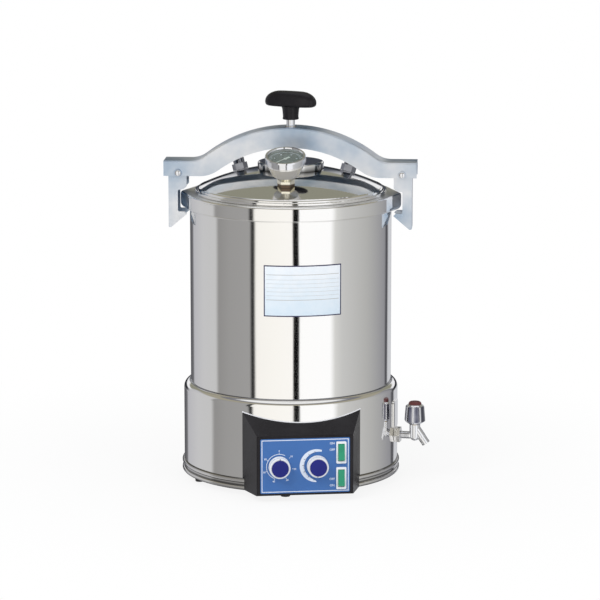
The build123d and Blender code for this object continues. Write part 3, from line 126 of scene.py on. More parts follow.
def maths(tree, operation, a, b=None, clamp=False):
    """A Math node's result. Each of a and b is a number or another node's output."""
    values = {0: a} if b is None else {0: a, 1: b}
    node = add_node(tree, "ShaderNodeMath", values, operation=operation, use_clamp=clamp)
    return node.outputs[0]


def ramp(tree, factor, stops):
    """A colour ramp with (position, colour) stops."""
    node = add_node(tree, "ShaderNodeValToRGB", {"Fac": factor})
    elements = node.color_ramp.elements
    while len(elements) > 1:
        elements.remove(elements[-1])
    for place, (position, colour) in enumerate(stops):
        element = elements[0] if place == 0 else elements.new(position)
        element.position = position
        element.color = (*colour, 1.0)
    return node.outputs["Color"]


def blend(tree, factor, a, b):
    """Two colours mixed by a factor. Each is a colour or another node's output."""
    values = {0: factor, 6: a, 7: b}
    return add_node(tree, "ShaderNodeMix", values, data_type="RGBA").outputs[2]


def remap(tree, value, limits, kind="LINEAR"):
    """A value brought into a new range. The limits are from low, from high, to low and to high."""
    values = dict(zip(("From Min", "From Max", "To Min", "To Max"), limits), Value=value)
    node = add_node(tree, "ShaderNodeMapRange", values, interpolation_type=kind)
    return node.outputs["Result"]


def share(tree, value, low, high, start=0.0, end=1.0):
    """A smooth step from start to end as a value goes from low to high."""
    return remap(tree, value, (low, high, start, end), "SMOOTHSTEP")


def split_axes(tree, vector):
    """The X, Y and Z outputs of a vector."""
    return add_node(tree, "ShaderNodeSeparateXYZ", {"Vector": vector}).outputs


def object_place(tree):
    """Object coordinates: metres in the model's own frame."""
    return add_node(tree, "ShaderNodeTexCoord").outputs["Object"]


def seen_directly(tree):
    """1 for rays from the camera itself, also through glass, and 0 for all others."""
    ray = add_node(tree, "ShaderNodeLightPath").outputs
    return maths(tree, "MAXIMUM", ray["Is Camera Ray"], ray["Is Transmission Ray"])


# %% The cards round the horizon
# A stop is a colour and its bearing in degrees, 0 at the camera and positive to the right of it.
cards = [
    (-180, (0.09, 0.09, 0.10)), (-166, (0.10, 0.10, 0.11)), (-152, (0.16, 0.16, 0.17)),
    (-147, (0.50, 0.50, 0.53)), (-120, (0.59, 0.59, 0.60)), (-96, (0.59, 0.59, 0.59)),
    (-91, (0.30, 0.295, 0.29)), (-74, (0.34, 0.335, 0.33)), (-47.6, (0.36, 0.355, 0.35)),
    (-45.2, (0.03, 0.03, 0.03)), (-42.4, (0.03, 0.03, 0.03)), (-40.2, (1.0, 0.98, 0.93)),
    (-20, (1.03, 1.01, 0.96)), (1.4, (1.05, 1.03, 0.99)), (2.3, (0.004, 0.004, 0.004)),
    (8.4, (0.004, 0.004, 0.004)), (9.2, (1.08, 1.08, 1.07)), (46, (1.08, 1.08, 1.08)),
    (52, (0.70, 0.70, 0.68)), (61, (0.60, 0.60, 0.59)), (72, (0.56, 0.56, 0.55)),
    (97, (0.47, 0.47, 0.46)), (131, (0.31, 0.31, 0.33)), (136, (0.30, 0.30, 0.32)),
    (141, (0.08, 0.08, 0.09)), (145, (0.08, 0.08, 0.09)), (150, (0.62, 0.63, 0.66)),
    (168, (0.62, 0.63, 0.66)), (180, (0.12, 0.12, 0.13)),
]
# Behind the object the wall is dark in the middle and pale at the sides. Here a bearing counts to
# either side.
far_wall = [(0, (0.9, 0.9, 0.9)), (171, (0.9, 0.9, 0.92)), (176, (0.07, 0.08, 0.10)),
            (180, (0.05, 0.055, 0.07))]
world = bpy.data.worlds.new("studio")
scene.world = world
world.use_nodes = True
room = world.node_tree
room.nodes.clear()
ray_way = add_node(room, "ShaderNodeTexCoord").outputs["Generated"]
turned = add_node(room, "ShaderNodeVectorRotate", {"Vector": ray_way, "Angle": -camera_turn},
                  rotation_type="Z_AXIS")
rightwards, away, rise = split_axes(room, turned.outputs["Vector"])
bearing = maths(room, "ARCTAN2", rightwards, maths(room, "MULTIPLY", away, -1.0))
around = maths(room, "ADD", maths(room, "DIVIDE", bearing, 2 * pi), 0.5)
either_side = maths(room, "DIVIDE", maths(room, "ABSOLUTE", bearing), pi)
print("cards:", len(cards), "far wall stops:", len(far_wall))

# %% The room that polished metal sees
olive = (0.275, 0.272, 0.215)
soft_grey = (0.20, 0.20, 0.215)
amber = (0.37, 0.345, 0.27)
overhead = (0.92, 0.92, 0.92)
dark_strip = (0.030, 0.032, 0.038)
# An edge of the room is a pair of elevations, in degrees, between which one part turns into the
# next. The far wall's sides are bearings.
far_wall_sides = (138, 150)
far_wall_foot, strip_top, far_wall_top, front_wall_top = (-7, -5.5), (5, 8), (15, 17.5), (26, 34)
amber_foot, amber_top, overhead_foot = (28, 31), (47, 50), (56, 66)


def above(edge):
    """A smooth step from 0 to 1 as a ray climbs past an edge of the room."""
    return share(room, rise, *(sin(radians(elevation)) for elevation in edge))


card_light = ramp(room, around, [((stop + 180) / 360, colour) for stop, colour in cards])
far_light = ramp(room, either_side, [(stop / 180, colour) for stop, colour in far_wall])
far_light = blend(room, above(strip_top), dark_strip, far_light)
behind = share(room, either_side, *(side / 180 for side in far_wall_sides))
far_side = maths(room, "MULTIPLY", behind, above(far_wall_foot))
wall_light = blend(room, far_side, card_light, far_light)
over_strip = maths(room, "SUBTRACT", above(amber_foot), above(amber_top))
lower_ceiling = blend(room, behind, blend(room, over_strip, soft_grey, amber), olive)
ceiling_light = blend(room, above(overhead_foot), lower_ceiling, overhead)
wall_top = blend(room, behind, above(front_wall_top), above(far_wall_top))
studio_light = blend(room, wall_top, wall_light, ceiling_light)

even_white, backdrop = (0.70, 0.70, 0.71), (1.0, 1.0, 1.0)
glossy = add_node(room, "ShaderNodeLightPath").outputs["Is Glossy Ray"]
lit = blend(room, glossy, even_white, studio_light)
seen = blend(room, seen_directly(room), lit, backdrop)
background = add_node(room, "ShaderNodeBackground", {"Color": seen}).outputs["Background"]
add_node(room, "ShaderNodeOutputWorld", {"Surface": background})
print("nodes in the room's tree:", len(room.nodes))

# %% [markdown]
# ## Lamps and floor
#
# One large soft lamp from the upper left models the matt parts and throws the soft shadow on the
# floor, and a weaker one on the right fills it. They are hidden from polished surfaces, which have
# the cards. The floor is pale and matt. To the camera alone it is partly lit and partly plain
# white, and the plain share grows with the distance from the object, so the floor takes the shadow
# near the feet and meets the white backdrop further off.

# %% Lamps
drum_middle = Vector((0.0, 0.0, 0.25))


def soft_lamp(name, place, size, power):
    """A square area lamp that points at the drum's middle."""
    data = bpy.data.lights.new(name, "AREA")
    data.shape = "SQUARE"
    data.size = size
    data.energy = power
    lamp = bpy.data.objects.new(name, data)
    scene.collection.objects.link(lamp)
    lamp.location = place
    aim_at(lamp, drum_middle)
    lamp.visible_glossy = False
    lamp.visible_camera = False
    print(name, size, "m wide", power, "W")


soft_lamp("key_lamp", (-1.1, -1.7, 1.9), 1.2, 26.0)
soft_lamp("fill_lamp", (1.6, -1.3, 1.2), 1.4, 10.0)

# %% Floor
floor_half, floor_grey = 30.0, (0.86, 0.86, 0.86)
shadow_from, shadow_to, near_share = 0.16, 0.75, 0.86
floor_mesh = bpy.data.meshes.new("floor")
square = [(x * floor_half, y * floor_half, 0) for x, y in ((-1, -1), (1, -1), (1, 1), (-1, 1))]
floor_mesh.from_pydata(square, [], [(0, 1, 2, 3)])
floor = bpy.data.objects.new("floor", floor_mesh)
scene.collection.objects.link(floor)
floor_paint = bpy.data.materials.new("floor_paint")
floor_paint.use_nodes = True
tree = floor_paint.node_tree
tree.nodes.clear()
matt = add_node(tree, "ShaderNodeBsdfDiffuse", {"Color": floor_grey}).outputs["BSDF"]
plain = add_node(tree, "ShaderNodeEmission").outputs["Emission"]
from_object = add_node(tree, "ShaderNodeVectorMath", {0: object_place(tree)}, operation="LENGTH")
unlit = share(tree, from_object.outputs["Value"], shadow_from, shadow_to, near_share, 1.0)
shown = maths(tree, "MULTIPLY", seen_directly(tree), unlit)
both = add_node(tree, "ShaderNodeMixShader", {"Fac": shown, 1: matt, 2: plain})
add_node(tree, "ShaderNodeOutputMaterial", {"Surface": both.outputs["Shader"]})
floor_mesh.materials.append(floor_paint)
floor.visible_glossy = False
print("floor:", 2 * floor_half, "m wide")

# %% [markdown]
# ## Finishes
#
# Every finish is a Principled shader whose roughness, colour and bump come from noise at the scale
# that the real surface has: polishing lines of a fraction of a millimetre on steel, a fine grain on
# moulded plastic, cloudy grains on zinc. The noise reads Object coordinates, which are metres in
# the model's own frame, so a pattern has its real size on every piece. Values that are the same all
# over sit on the shader's own sockets.

# %% Helpers for finishes
finishes = {}


def new_finish(name, colour, metallic=0.0, roughness=0.5):
    """Makes a material and keeps it under its name. Gives its node tree and its shader."""
    finishes[name] = bpy.data.materials.new(name)
    finishes[name].use_nodes = True
    tree = finishes[name].node_tree
    shader = tree.nodes["Principled BSDF"]
    feed(tree, shader, {"Base Color": colour, "Metallic": metallic, "Roughness": roughness})
    return tree, shader


def noise(tree, scale, detail=2.0, stretch=(1.0, 1.0, 1.0), vector=None):
    """Noise in features a metre. Stretch multiplies the scale on each axis."""
    vector = object_place(tree) if vector is None else vector
    mapped = add_node(tree, "ShaderNodeMapping", {"Vector": vector, "Scale": stretch}).outputs[0]
    values = {"Vector": mapped, "Scale": scale, "Detail": detail}
    return add_node(tree, "ShaderNodeTexNoise", values).outputs["Fac"]


def spread(tree, value, low, high, from_low=0.3, from_high=0.7):
    """A noise value brought into a range."""
    return remap(tree, value, (from_low, from_high, low, high))


def bump(tree, shader, height, strength, depth, under=None):
    """Bump on the shader's normal. The depth is in metres, and under is a bump below this one."""
    values = {"Height": height, "Strength": strength, "Distance": depth}
    if under is not None:
        values["Normal"] = under
    normal = add_node(tree, "ShaderNodeBump", values).outputs["Normal"]
    feed(tree, shader, {"Normal": normal})
    return normal


def ring_lines(tree):
    """Coordinates that turn noise into lines round the Z axis: radius, height and a slow drift."""
    x, y, z = split_axes(tree, object_place(tree))
    squares = [maths(tree, "MULTIPLY", axis, axis) for axis in (x, y)]
    radius = maths(tree, "SQRT", maths(tree, "ADD", *squares))
    drift = 0.004
    slow = [maths(tree, "MULTIPLY", axis, drift) for axis in (x, y, maths(tree, "ADD", x, y))]
    lines = {"X": maths(tree, "ADD", radius, slow[0]), "Y": maths(tree, "ADD", z, slow[1]),
             "Z": slow[2]}
    return add_node(tree, "ShaderNodeCombineXYZ", lines).outputs["Vector"]


# %% [markdown]
# ### Polished steel
#
# The drum, collar, skirt and lid are stainless sheet, rolled or spun and then polished on a wheel.
# Such a surface is a mirror with two faults: hair lines that run round the axis, and a slow
# waviness that bends what it reflects. Both are bump, and the hair lines vary the roughness. A
# faint cloud of handling marks dulls it in places. The same function makes three relatives. The
# collar's upper face is ground flat for the lid's seal, so it is satin where it faces up. The
# beaded ring round the foot is mirror bright on its beads, and shade is painted dark into its
# grooves and along its top, where the skirt sits on it. The disc on the lid has painted shade at
# its foot in the same way.

# %% Polished steel
# The last colour is painted shade, for the dark lines in grooves and joints.
steel, ring_tone, painted_groove_shade = (0.91, 0.905, 0.90), (0.80, 0.79, 0.78), (0.07, 0.068, 0.066)
hair_scale, marks_scale, wave_scale = 2600.0, 14.0, 9.0
hair_depth, marks_share, ground_satin, level_from, level_to = 0.000010, 0.45, 0.34, 0.80, 0.95


def polished_steel(name, colour, low_rough, high_rough, wave_depth, ground_top=0.0, shade_lines=()):
    """Spun and polished steel. A ground top is the roughness that is added where the surface faces
    up. Each shade line is the height and the half width, in metres, of a dark line of painted shade
    round the axis."""
    tree, shader = new_finish(name, colour, metallic=1.0)
    hair = noise(tree, hair_scale, detail=3.0, vector=ring_lines(tree))
    marks = noise(tree, marks_scale, detail=4.0)
    rough = spread(tree, blend(tree, marks_share, hair, marks), low_rough, high_rough)
    if ground_top > 0.0:
        facing = split_axes(tree, add_node(tree, "ShaderNodeTexCoord").outputs["Normal"])["Z"]
        ground = spread(tree, facing, 0.0, ground_top, level_from, level_to)
        rough = maths(tree, "ADD", rough, ground)
    feed(tree, shader, {"Roughness": rough})
    painted_shade = None
    # Painted shade: the base colour turns dark along each of these lines.
    for height, half_width in shade_lines:
        z = split_axes(tree, object_place(tree))["Z"]
        off = maths(tree, "ABSOLUTE", maths(tree, "SUBTRACT", z, height))
        near = maths(tree, "SUBTRACT", 1.0, maths(tree, "DIVIDE", off, half_width), clamp=True)
        painted_shade = near if painted_shade is None else maths(tree, "MAXIMUM", painted_shade, near)
    if shade_lines:
        feed(tree, shader, {"Base Color": blend(tree, painted_shade, colour, painted_groove_shade)})
    wave = noise(tree, wave_scale, detail=1.0, stretch=(1.0, 1.0, 0.45))
    waviness = bump(tree, shader, wave, 0.5, wave_depth)
    bump(tree, shader, hair, 0.35, hair_depth, under=waviness)
    print(name, "nodes:", len(tree.nodes))


# Painted shade in the beaded ring's grooves and on its top, where the skirt sits, and at the foot of
# the lid's disc.
ring_shade_lines = ((0.0088, 0.0032), (0.0152, 0.0024), (0.0187, 0.0015), (0.0250, 0.0024))
disc_foot_shade = ((0.4395, 0.0085),)
polished_steel("polished_steel", steel, 0.035, 0.10, 0.0016)
polished_steel("collar_steel", steel, 0.035, 0.10, 0.0016, ground_top=ground_satin)
polished_steel("ring_steel", ring_tone, 0.08, 0.16, 0.0008, shade_lines=ring_shade_lines)
polished_steel("disc_steel", steel, 0.05, 0.12, 0.0008, shade_lines=disc_foot_shade)

# %% [markdown]
# ### Plain steel, plated steel, brass and the heater's sheath
#
# The pieces inside are satin steel. The yoke and hooks are zinc plated, and the bluish passivation
# on the zinc is cloudy: some places are nearly white and some a deeper blue grey. Fittings are
# chromium on brass, smoother and colder than the steel. The heater's sheath has been hot, so its
# brown oxide varies along it. The gauge's case and the tap's nut are satin nickel, which is partly
# lacquer: it is less metallic than chromium, so it stays pale on the side that faces dark things.


# %% Other metals
def metal(name, colour, other, low_rough, high_rough, grain, depth, stretch=(1.0, 1.0, 1.0),
          cloud_scale=45.0, metallic=1.0):
    """A metal whose colour and roughness drift between two values. The grain is in features a
    metre, and its depth in metres."""
    tree, shader = new_finish(name, colour, metallic=metallic)
    cloud = noise(tree, cloud_scale, detail=4.0)
    fine = noise(tree, grain, detail=3.0, stretch=stretch)
    tone = blend(tree, spread(tree, cloud, 0.0, 1.0), colour, other)
    rough = spread(tree, blend(tree, 0.3, cloud, fine), low_rough, high_rough)
    feed(tree, shader, {"Base Color": tone, "Roughness": rough})
    bump(tree, shader, fine, 0.3, depth)


metal("plain_steel", (0.70, 0.70, 0.69), (0.60, 0.60, 0.60), 0.24, 0.40, 900.0, 0.00003,
      stretch=(1.0, 1.0, 0.15))
metal("zinc_plate", (0.27, 0.39, 0.54), (0.86, 0.87, 0.90), 0.24, 0.42, 260.0, 0.000014,
      stretch=(0.25, 1.0, 1.0), cloud_scale=13.0, metallic=0.8)
metal("chrome_plate", (0.84, 0.85, 0.88), (0.78, 0.79, 0.83), 0.05, 0.12, 1200.0, 0.000006)
# On the valve bodies this dark colour is painted dark reflection, and on the bead at the skirt's top
# it is painted shade.
metal("dark_chrome", (0.17, 0.175, 0.20), (0.34, 0.35, 0.39), 0.07, 0.18, 1200.0, 0.000006)
metal("satin_nickel", (0.90, 0.89, 0.88), (0.80, 0.79, 0.77), 0.14, 0.26, 800.0, 0.00001,
      metallic=0.72)
metal("brass", (0.80, 0.62, 0.30), (0.70, 0.52, 0.24), 0.16, 0.30, 900.0, 0.00002)
metal("heater_sheath", (0.30, 0.27, 0.25), (0.20, 0.17, 0.15), 0.42, 0.60, 500.0, 0.00004)
print("metals so far:", len(finishes))

# %% [markdown]
# ### The gauge's stem
#
# The stem is pale brass above, and below it is painted dark brown, a painted reflection of the stem
# in the dome. The height at which one turns into the other is a share of the stem's own box, so it
# follows the CAD model.

# %% The gauge's stem
reflection_brown, pale_brass, between = (0.13, 0.095, 0.07), (0.95, 0.92, 0.80), (0.5, 0.4, 0.3)
stem_low, stem_high = (corner[2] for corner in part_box("gauge_stem"))
change = [stem_low + part * (stem_high - stem_low) for part in (0.40, 0.45)]
tree, shader = new_finish("stem_brass_reflection", between, metallic=1.0)
upper = spread(tree, split_axes(tree, object_place(tree))["Z"], 0.0, 1.0, *change)
# The lower share's dark brown is painted reflection; the upper share is the brass's own colour.
feed(tree, shader, {"Base Color": blend(tree, upper, reflection_brown, pale_brass),
                    "Roughness": spread(tree, noise(tree, 900.0, detail=3.0), 0.10, 0.24)})
print("gauge stem:", round(stem_low, 4), "to", round(stem_high, 4), "m")

# %% [markdown]
# ### Plastics, rubber, paint and glass
#
# Moulded plastic has a fine spark-eroded grain on its tool, which breaks up the reflection. Gloss
# plastic has almost none, but still a little orange peel. Rubber is matt with a dusty bloom. The
# gauge's dial is printed paint. Glass is clear with a slight green tint, and its surfaces carry a
# few faint wipe marks.


# %% Plastics, rubber and paint
def moulded(name, colour, wear, low_rough, high_rough, grain, depth, gloss):
    """A non-metal with a fine grain. Wear is the colour of its rubbed and dusty places."""
    tree, shader = new_finish(name, colour)
    cloud = noise(tree, 30.0, detail=5.0)
    fine = noise(tree, grain, detail=2.0)
    tone = blend(tree, spread(tree, cloud, 0.0, 1.0, 0.45, 0.8), colour, wear)
    rough = spread(tree, blend(tree, 0.5, cloud, fine), low_rough, high_rough)
    feed(tree, shader, {"Base Color": tone, "Roughness": rough, "Specular IOR Level": gloss})
    bump(tree, shader, fine, 0.5, depth)


# Name, colour, wear, lowest and highest roughness, grains a metre, their depth in metres, gloss.
plastics = (
    ("black_plastic", (0.009, 0.008, 0.010), (0.017, 0.016, 0.019), 0.22, 0.34, 2200, 2.5e-5, 0.24),
    ("black_rubber", (0.018, 0.018, 0.018), (0.05, 0.05, 0.048), 0.62, 0.80, 1500, 5e-5, 0.5),
    # The gasket's dark grey is partly painted shade: it darkens the gap under the lid's flange.
    ("gasket_rubber", (0.045, 0.043, 0.042), (0.08, 0.078, 0.075), 0.50, 0.66, 1200, 4e-5, 0.5),
    ("grey_plastic", (0.42, 0.42, 0.40), (0.48, 0.47, 0.44), 0.42, 0.56, 1500, 3e-5, 0.5),
    ("white_plastic", (0.82, 0.84, 0.88), (0.78, 0.79, 0.82), 0.20, 0.32, 1200, 1.5e-5, 0.5),
    ("dark_blue_plastic", (0.01, 0.014, 0.17), (0.016, 0.02, 0.20), 0.16, 0.28, 1200, 1.2e-5, 0.22),
    ("green_plastic", (0.020, 0.27, 0.145), (0.03, 0.32, 0.18), 0.14, 0.26, 1000, 1e-5, 0.35),
    ("red_plastic", (0.10, 0.028, 0.030), (0.14, 0.045, 0.045), 0.18, 0.30, 1200, 1e-5, 0.3),
    ("blue_plate", (0.050, 0.150, 0.41), (0.058, 0.165, 0.43), 0.26, 0.38, 1800, 1e-5, 0.3),
    ("dial_paint", (0.034, 0.064, 0.062), (0.046, 0.082, 0.080), 0.40, 0.52, 1500, 1e-5, 0.5),
    ("needle_paint", (0.66, 0.70, 0.68), (0.58, 0.62, 0.60), 0.35, 0.50, 1500, 1e-5, 0.5),
    ("white_ink", (0.72, 0.78, 0.88), (0.62, 0.70, 0.84), 0.40, 0.55, 2500, 8e-6, 0.3),
    ("dark_ink", (0.022, 0.020, 0.07), (0.04, 0.036, 0.10), 0.42, 0.55, 2500, 8e-6, 0.3),
    # This pale finish is a painted highlight along the housing's top edge.
    ("pale_highlight", (0.80, 0.81, 0.84), (0.70, 0.71, 0.75), 0.18, 0.30, 500, 2e-5, 0.5),
)
for row in plastics:
    moulded(*row)
print("plastics, rubbers and paints:", len(plastics))

# %% Glass
tree, shader = new_finish("clear_glass", (0.93, 0.98, 0.96), roughness=0.02)
wipes = noise(tree, 60.0, detail=4.0, stretch=(1.0, 3.0, 1.0))
feed(tree, shader, {"Roughness": spread(tree, wipes, 0.0, 0.05), "Transmission Weight": 1.0,
                    "IOR": 1.45})
print("finishes so far:", len(finishes))

# %% [markdown]
# ## Dress the CAD nodes
#
# Each CAD node already carries a material slot named after its finish, so one loop swaps them all.
# A few nodes take a relative of their finish instead: the collar, the beaded ring, the lid's disc,
# the gauge's case and stem, both valves and the tap's nut.

# %% Put the finishes on the nodes
other_finish = {"collar": "collar_steel", "base_ring": "ring_steel", "lid_disc": "disc_steel",
                "gauge_case": "satin_nickel", "gauge_stem": "stem_brass_reflection",
                # Both valve bodies are dark chrome: their dark colour is painted reflection.
                "safety_valve_body": "dark_chrome", "release_valve_body": "dark_chrome",
                "tap_nut": "satin_nickel"}
dressed = 0
for node in nodes.values():
    for slot in node.material_slots:
        slot.material = finishes[other_finish.get(node.name, slot.material.name.split(".")[0])]
        dressed += 1
print("slots dressed:", dressed)

# %% [markdown]
# ## Fine detail
#
# A CAD model stops at the shapes that matter for its motion. What follows is thin: printed scales,
# a data plate's blank, rivet heads, a thread, beads, a painted highlight and a seam. Four pieces,
# which are the two control knobs, the clamp knob and the tap's handle, are made again with a softer
# and fuller outline than the CAD gives. All of it is real geometry, because bump vanishes in a side
# view, and printed marks are closed plates a tenth of a millimetre thick. A few helpers serve every
# piece: a band between two lines of points, a skin over rings of points, and a way to finish a mesh.

# %% Helpers for meshes
sunk = 0.05  # how deep, in mm, printed marks reach into the surface under them


def add_band(mesh, line_a, line_b, place, top, bottom=-sunk, closed=False):
    """A closed plate between two lines of (u, v) points in mm. Place gives metres for u, v, w."""
    (low_a, low_b), (high_a, high_b) = (
        [[mesh.verts.new(place(u, v, height)) for u, v in line] for line in (line_a, line_b)]
        for height in (bottom, top))
    count = len(line_a)
    for step in range(count if closed else count - 1):
        after = (step + 1) % count
        for a, b in ((high_a, high_b), (low_b, low_a), (low_a, high_a), (high_b, low_b)):
            mesh.faces.new((a[step], a[after], b[after], b[step]))
    if not closed:
        for end in (0, count - 1):
            mesh.faces.new((low_a[end], high_a[end], high_b[end], low_b[end]))


def level_strip(mesh, half, low, high, place, top, steps=24):
    """A plate between two heights, from -half to half, in steps that let it bend round a wall."""
    lines = [[(-half + 2 * half * step / steps, height) for step in range(steps + 1)]
             for height in (low, high)]
    add_band(mesh, *lines, place, top)


def ring_of(mesh, steps, spot):
    """A ring of vertices. The function spot gives metres for an angle."""
    return [mesh.verts.new(spot(2 * pi * step / steps)) for step in range(steps)]


def skin(mesh, rings):
    """Faces between each ring of vertices and the next."""
    for low, high in zip(rings, rings[1:]):
        for step in range(len(low)):
            after = (step + 1) % len(low)
            mesh.faces.new((low[step], low[after], high[after], high[step]))


def capped_skin(mesh, rings):
    """A skin that is closed by a face at each end."""
    skin(mesh, rings)
    mesh.faces.new(list(reversed(rings[0])))
    mesh.faces.new(rings[-1])


def polar(radius, turn):
    """The x and y of a point at an angle."""
    return radius * cos(turn), radius * sin(turn)


def lathe(mesh, profile, steps, place):
    """A capped skin over circles, each of which is a height and a radius in mm."""
    capped_skin(mesh, [ring_of(mesh, steps, lambda turn: place(*polar(radius, turn), height))
                       for height, radius in profile])


def finish_piece(name, mesh, finish, body, crease=35.0):
    """Makes a piece of a bmesh, smooth up to a crease angle, and lets it ride on a body."""
    bmesh.ops.remove_doubles(mesh, verts=mesh.verts, dist=1e-7)
    bmesh.ops.recalc_face_normals(mesh, faces=mesh.faces)
    for face in mesh.faces:
        face.smooth = True
    for edge in mesh.edges:
        edge.smooth = edge.calc_face_angle(pi) < radians(crease)
    data = bpy.data.meshes.new(name)
    mesh.to_mesh(data)
    mesh.free()
    data.materials.append(finishes[finish])
    piece = bpy.data.objects.new(name, data)
    scene.collection.objects.link(piece)
    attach(piece, body)
    print(name, "faces:", len(data.polygons))
    return piece


# %% Helpers for print
def circle_line(radius, start, end, steps):
    """Points along an arc, with the angles in degrees."""
    turns = [radians(start + (end - start) * step / steps) for step in range(steps + 1)]
    return [polar(radius, turn) for turn in turns]


def around_point(centre, frame_place):
    """The same place function with another origin."""
    def place(u, v, w):
        return frame_place(centre[0] + u, centre[1] + v, w)
    return place


def put_in_place(mesh, shape, place, top):
    """Moves a flat mesh in mm through a place function and adds it to a bmesh."""
    for vertex in shape.vertices:
        x, y, z = vertex.co
        vertex.co = place(x, y, z + (top - sunk) / 2)
    mesh.from_mesh(shape)


def add_words(mesh, words, size, centre, place, top):
    """Figures in Blender's own font, turned into a mesh first and then put in place."""
    boldness = 0.022
    curve = bpy.data.curves.new("figures", "FONT")
    curve.body, curve.size, curve.offset = words, size, size * boldness
    curve.align_x = curve.align_y = "CENTER"
    curve.resolution_u = 3
    curve.extrude = (top + sunk) / 2
    holder = bpy.data.objects.new("figures", curve)
    shape = bpy.data.meshes.new_from_object(holder)
    put_in_place(mesh, shape, around_point(centre, place), top)
    bpy.data.objects.remove(holder)


def add_figures(mesh, figures, size, place, top, radius, start, step):
    """Figures round a circle, in mm and degrees."""
    for count, figure in enumerate(figures):
        centre = polar(radius, radians(start + step * count))
        add_words(mesh, str(figure), size, centre, place, top)


# %% [markdown]
# ### A tree for marks round a circle
#
# Scale marks repeat round a circle. One Geometry Nodes tree makes points, turns each point's index
# into an angle with Math nodes, and puts a small bar on each. The tree ends by making the copies
# real and giving them their finish, and the result is turned into a plain mesh.


# %% Helpers for Geometry Nodes
def start_tree(name, wanted):
    """A tree with one output, the keys of its inputs on a modifier, and the inputs themselves."""
    tree = bpy.data.node_groups.new(name, "GeometryNodeTree")
    tree.interface.new_socket("Geometry", in_out="OUTPUT", socket_type="NodeSocketGeometry")
    keys = {}
    for label, kind in wanted.items():
        socket = tree.interface.new_socket(label, in_out="INPUT", socket_type="NodeSocket" + kind)
        keys[label] = socket.identifier
    return tree, keys, add_node(tree, "NodeGroupInput").outputs


def end_tree(tree, shapes, finish):
    """Makes the shapes real, gives them their finish and sends them out."""
    real = add_node(tree, "GeometryNodeRealizeInstances", {"Geometry": shapes}).outputs[0]
    coloured = add_node(tree, "GeometryNodeSetMaterial", {"Geometry": real, "Material": finish})
    add_node(tree, "NodeGroupOutput", {0: coloured.outputs["Geometry"]})


def grow(tree, keys, values, path=None):
    """Evaluates a tree once and gives a plain mesh. A path is a line of points to follow."""
    seed = bpy.data.meshes.new("seed")
    if path is not None:
        seed.from_pydata(path, [(step, step + 1) for step in range(len(path) - 1)], [])
    holder = bpy.data.objects.new("seed", seed)
    scene.collection.objects.link(holder)
    modifier = holder.modifiers.new("nodes", "NODES")
    modifier.node_group = tree
    for label, value in values.items():
        modifier[keys[label]] = value
    evaluated = holder.evaluated_get(bpy.context.evaluated_depsgraph_get())
    grown = bpy.data.meshes.new_from_object(evaluated)
    bpy.data.objects.remove(holder)
    return grown


# %% Marks round a circle
bar_marks, bar_keys, given = start_tree("bar_marks", {
    "Count": "Int", "Radius": "Float", "Start": "Float", "Step": "Float", "Size": "Vector",
    "Finish": "Material"})
index = add_node(bar_marks, "GeometryNodeInputIndex").outputs["Index"]
turn = maths(bar_marks, "ADD", given["Start"], maths(bar_marks, "MULTIPLY", index, given["Step"]))
spot = add_node(bar_marks, "ShaderNodeCombineXYZ", {
    axis: maths(bar_marks, "MULTIPLY", given["Radius"], maths(bar_marks, wave, turn))
    for axis, wave in (("X", "COSINE"), ("Y", "SINE"))})
points = add_node(bar_marks, "GeometryNodePoints", {
    "Count": given["Count"], "Position": spot.outputs["Vector"]})
angle = add_node(bar_marks, "ShaderNodeCombineXYZ", {"Z": turn}).outputs["Vector"]
copies = add_node(bar_marks, "GeometryNodeInstanceOnPoints", {
    "Points": points.outputs[0],
    "Instance": add_node(bar_marks, "GeometryNodeMeshCube").outputs["Mesh"],
    "Rotation": add_node(bar_marks, "FunctionNodeEulerToRotation", {"Euler": angle}).outputs[0],
    "Scale": given["Size"]})
end_tree(bar_marks, copies.outputs["Instances"], given["Finish"])
print("nodes in the marks' tree:", len(bar_marks.nodes))


def add_marks(mesh, finish, place, top, count, radius, start, step, length, width):
    """Scale marks in mm and degrees, added to a bmesh through the place function."""
    values = {"Count": count, "Radius": radius, "Start": radians(start), "Step": radians(step),
              "Size": (length, width, top + sunk), "Finish": finishes[finish]}
    put_in_place(mesh, grow(bar_marks, bar_keys, values), place, top)


# %% [markdown]
# ### The faceplate's print
#
# The plate is printed in white: a frame line just inside its edge, a ring with minutes round the
# timer, a crescent that grows wider as the temperature rises, and ON and OFF beside the switches.
# The panel is turned a little to the right, so one function turns the plate's own across and up
# into metres. The crescent is a band between two arcs whose gap grows with the angle.

# %% The faceplate's frame
panel_turn = radians(10.7)
across = Vector((cos(panel_turn), sin(panel_turn), 0.0))
outward = Vector((sin(panel_turn), -cos(panel_turn), 0.0))
panel_front, ink = 172.0, 0.08
plate_half, plate_low, plate_high, frame_in, frame_line = 62.0, 12.6, 89.6, 1.6, 1.1


def on_panel(u, v, w):
    """Metres for a point across, up and out from the faceplate, in mm."""
    return (across * u + outward * (panel_front + w) + Vector((0.0, 0.0, v))) * MM


def plate_corners(inset):
    """The faceplate's corners, moved inwards."""
    side, low, high = plate_half - inset, plate_low + inset, plate_high - inset
    return [(-side, low), (side, low), (side, high), (-side, high)]


print_mesh = bmesh.new()
frame_edges = [plate_corners(inset) for inset in (frame_in, frame_in + frame_line)]
add_band(print_mesh, *frame_edges, on_panel, ink, closed=True)
print("frame line:", frame_line, "mm wide")

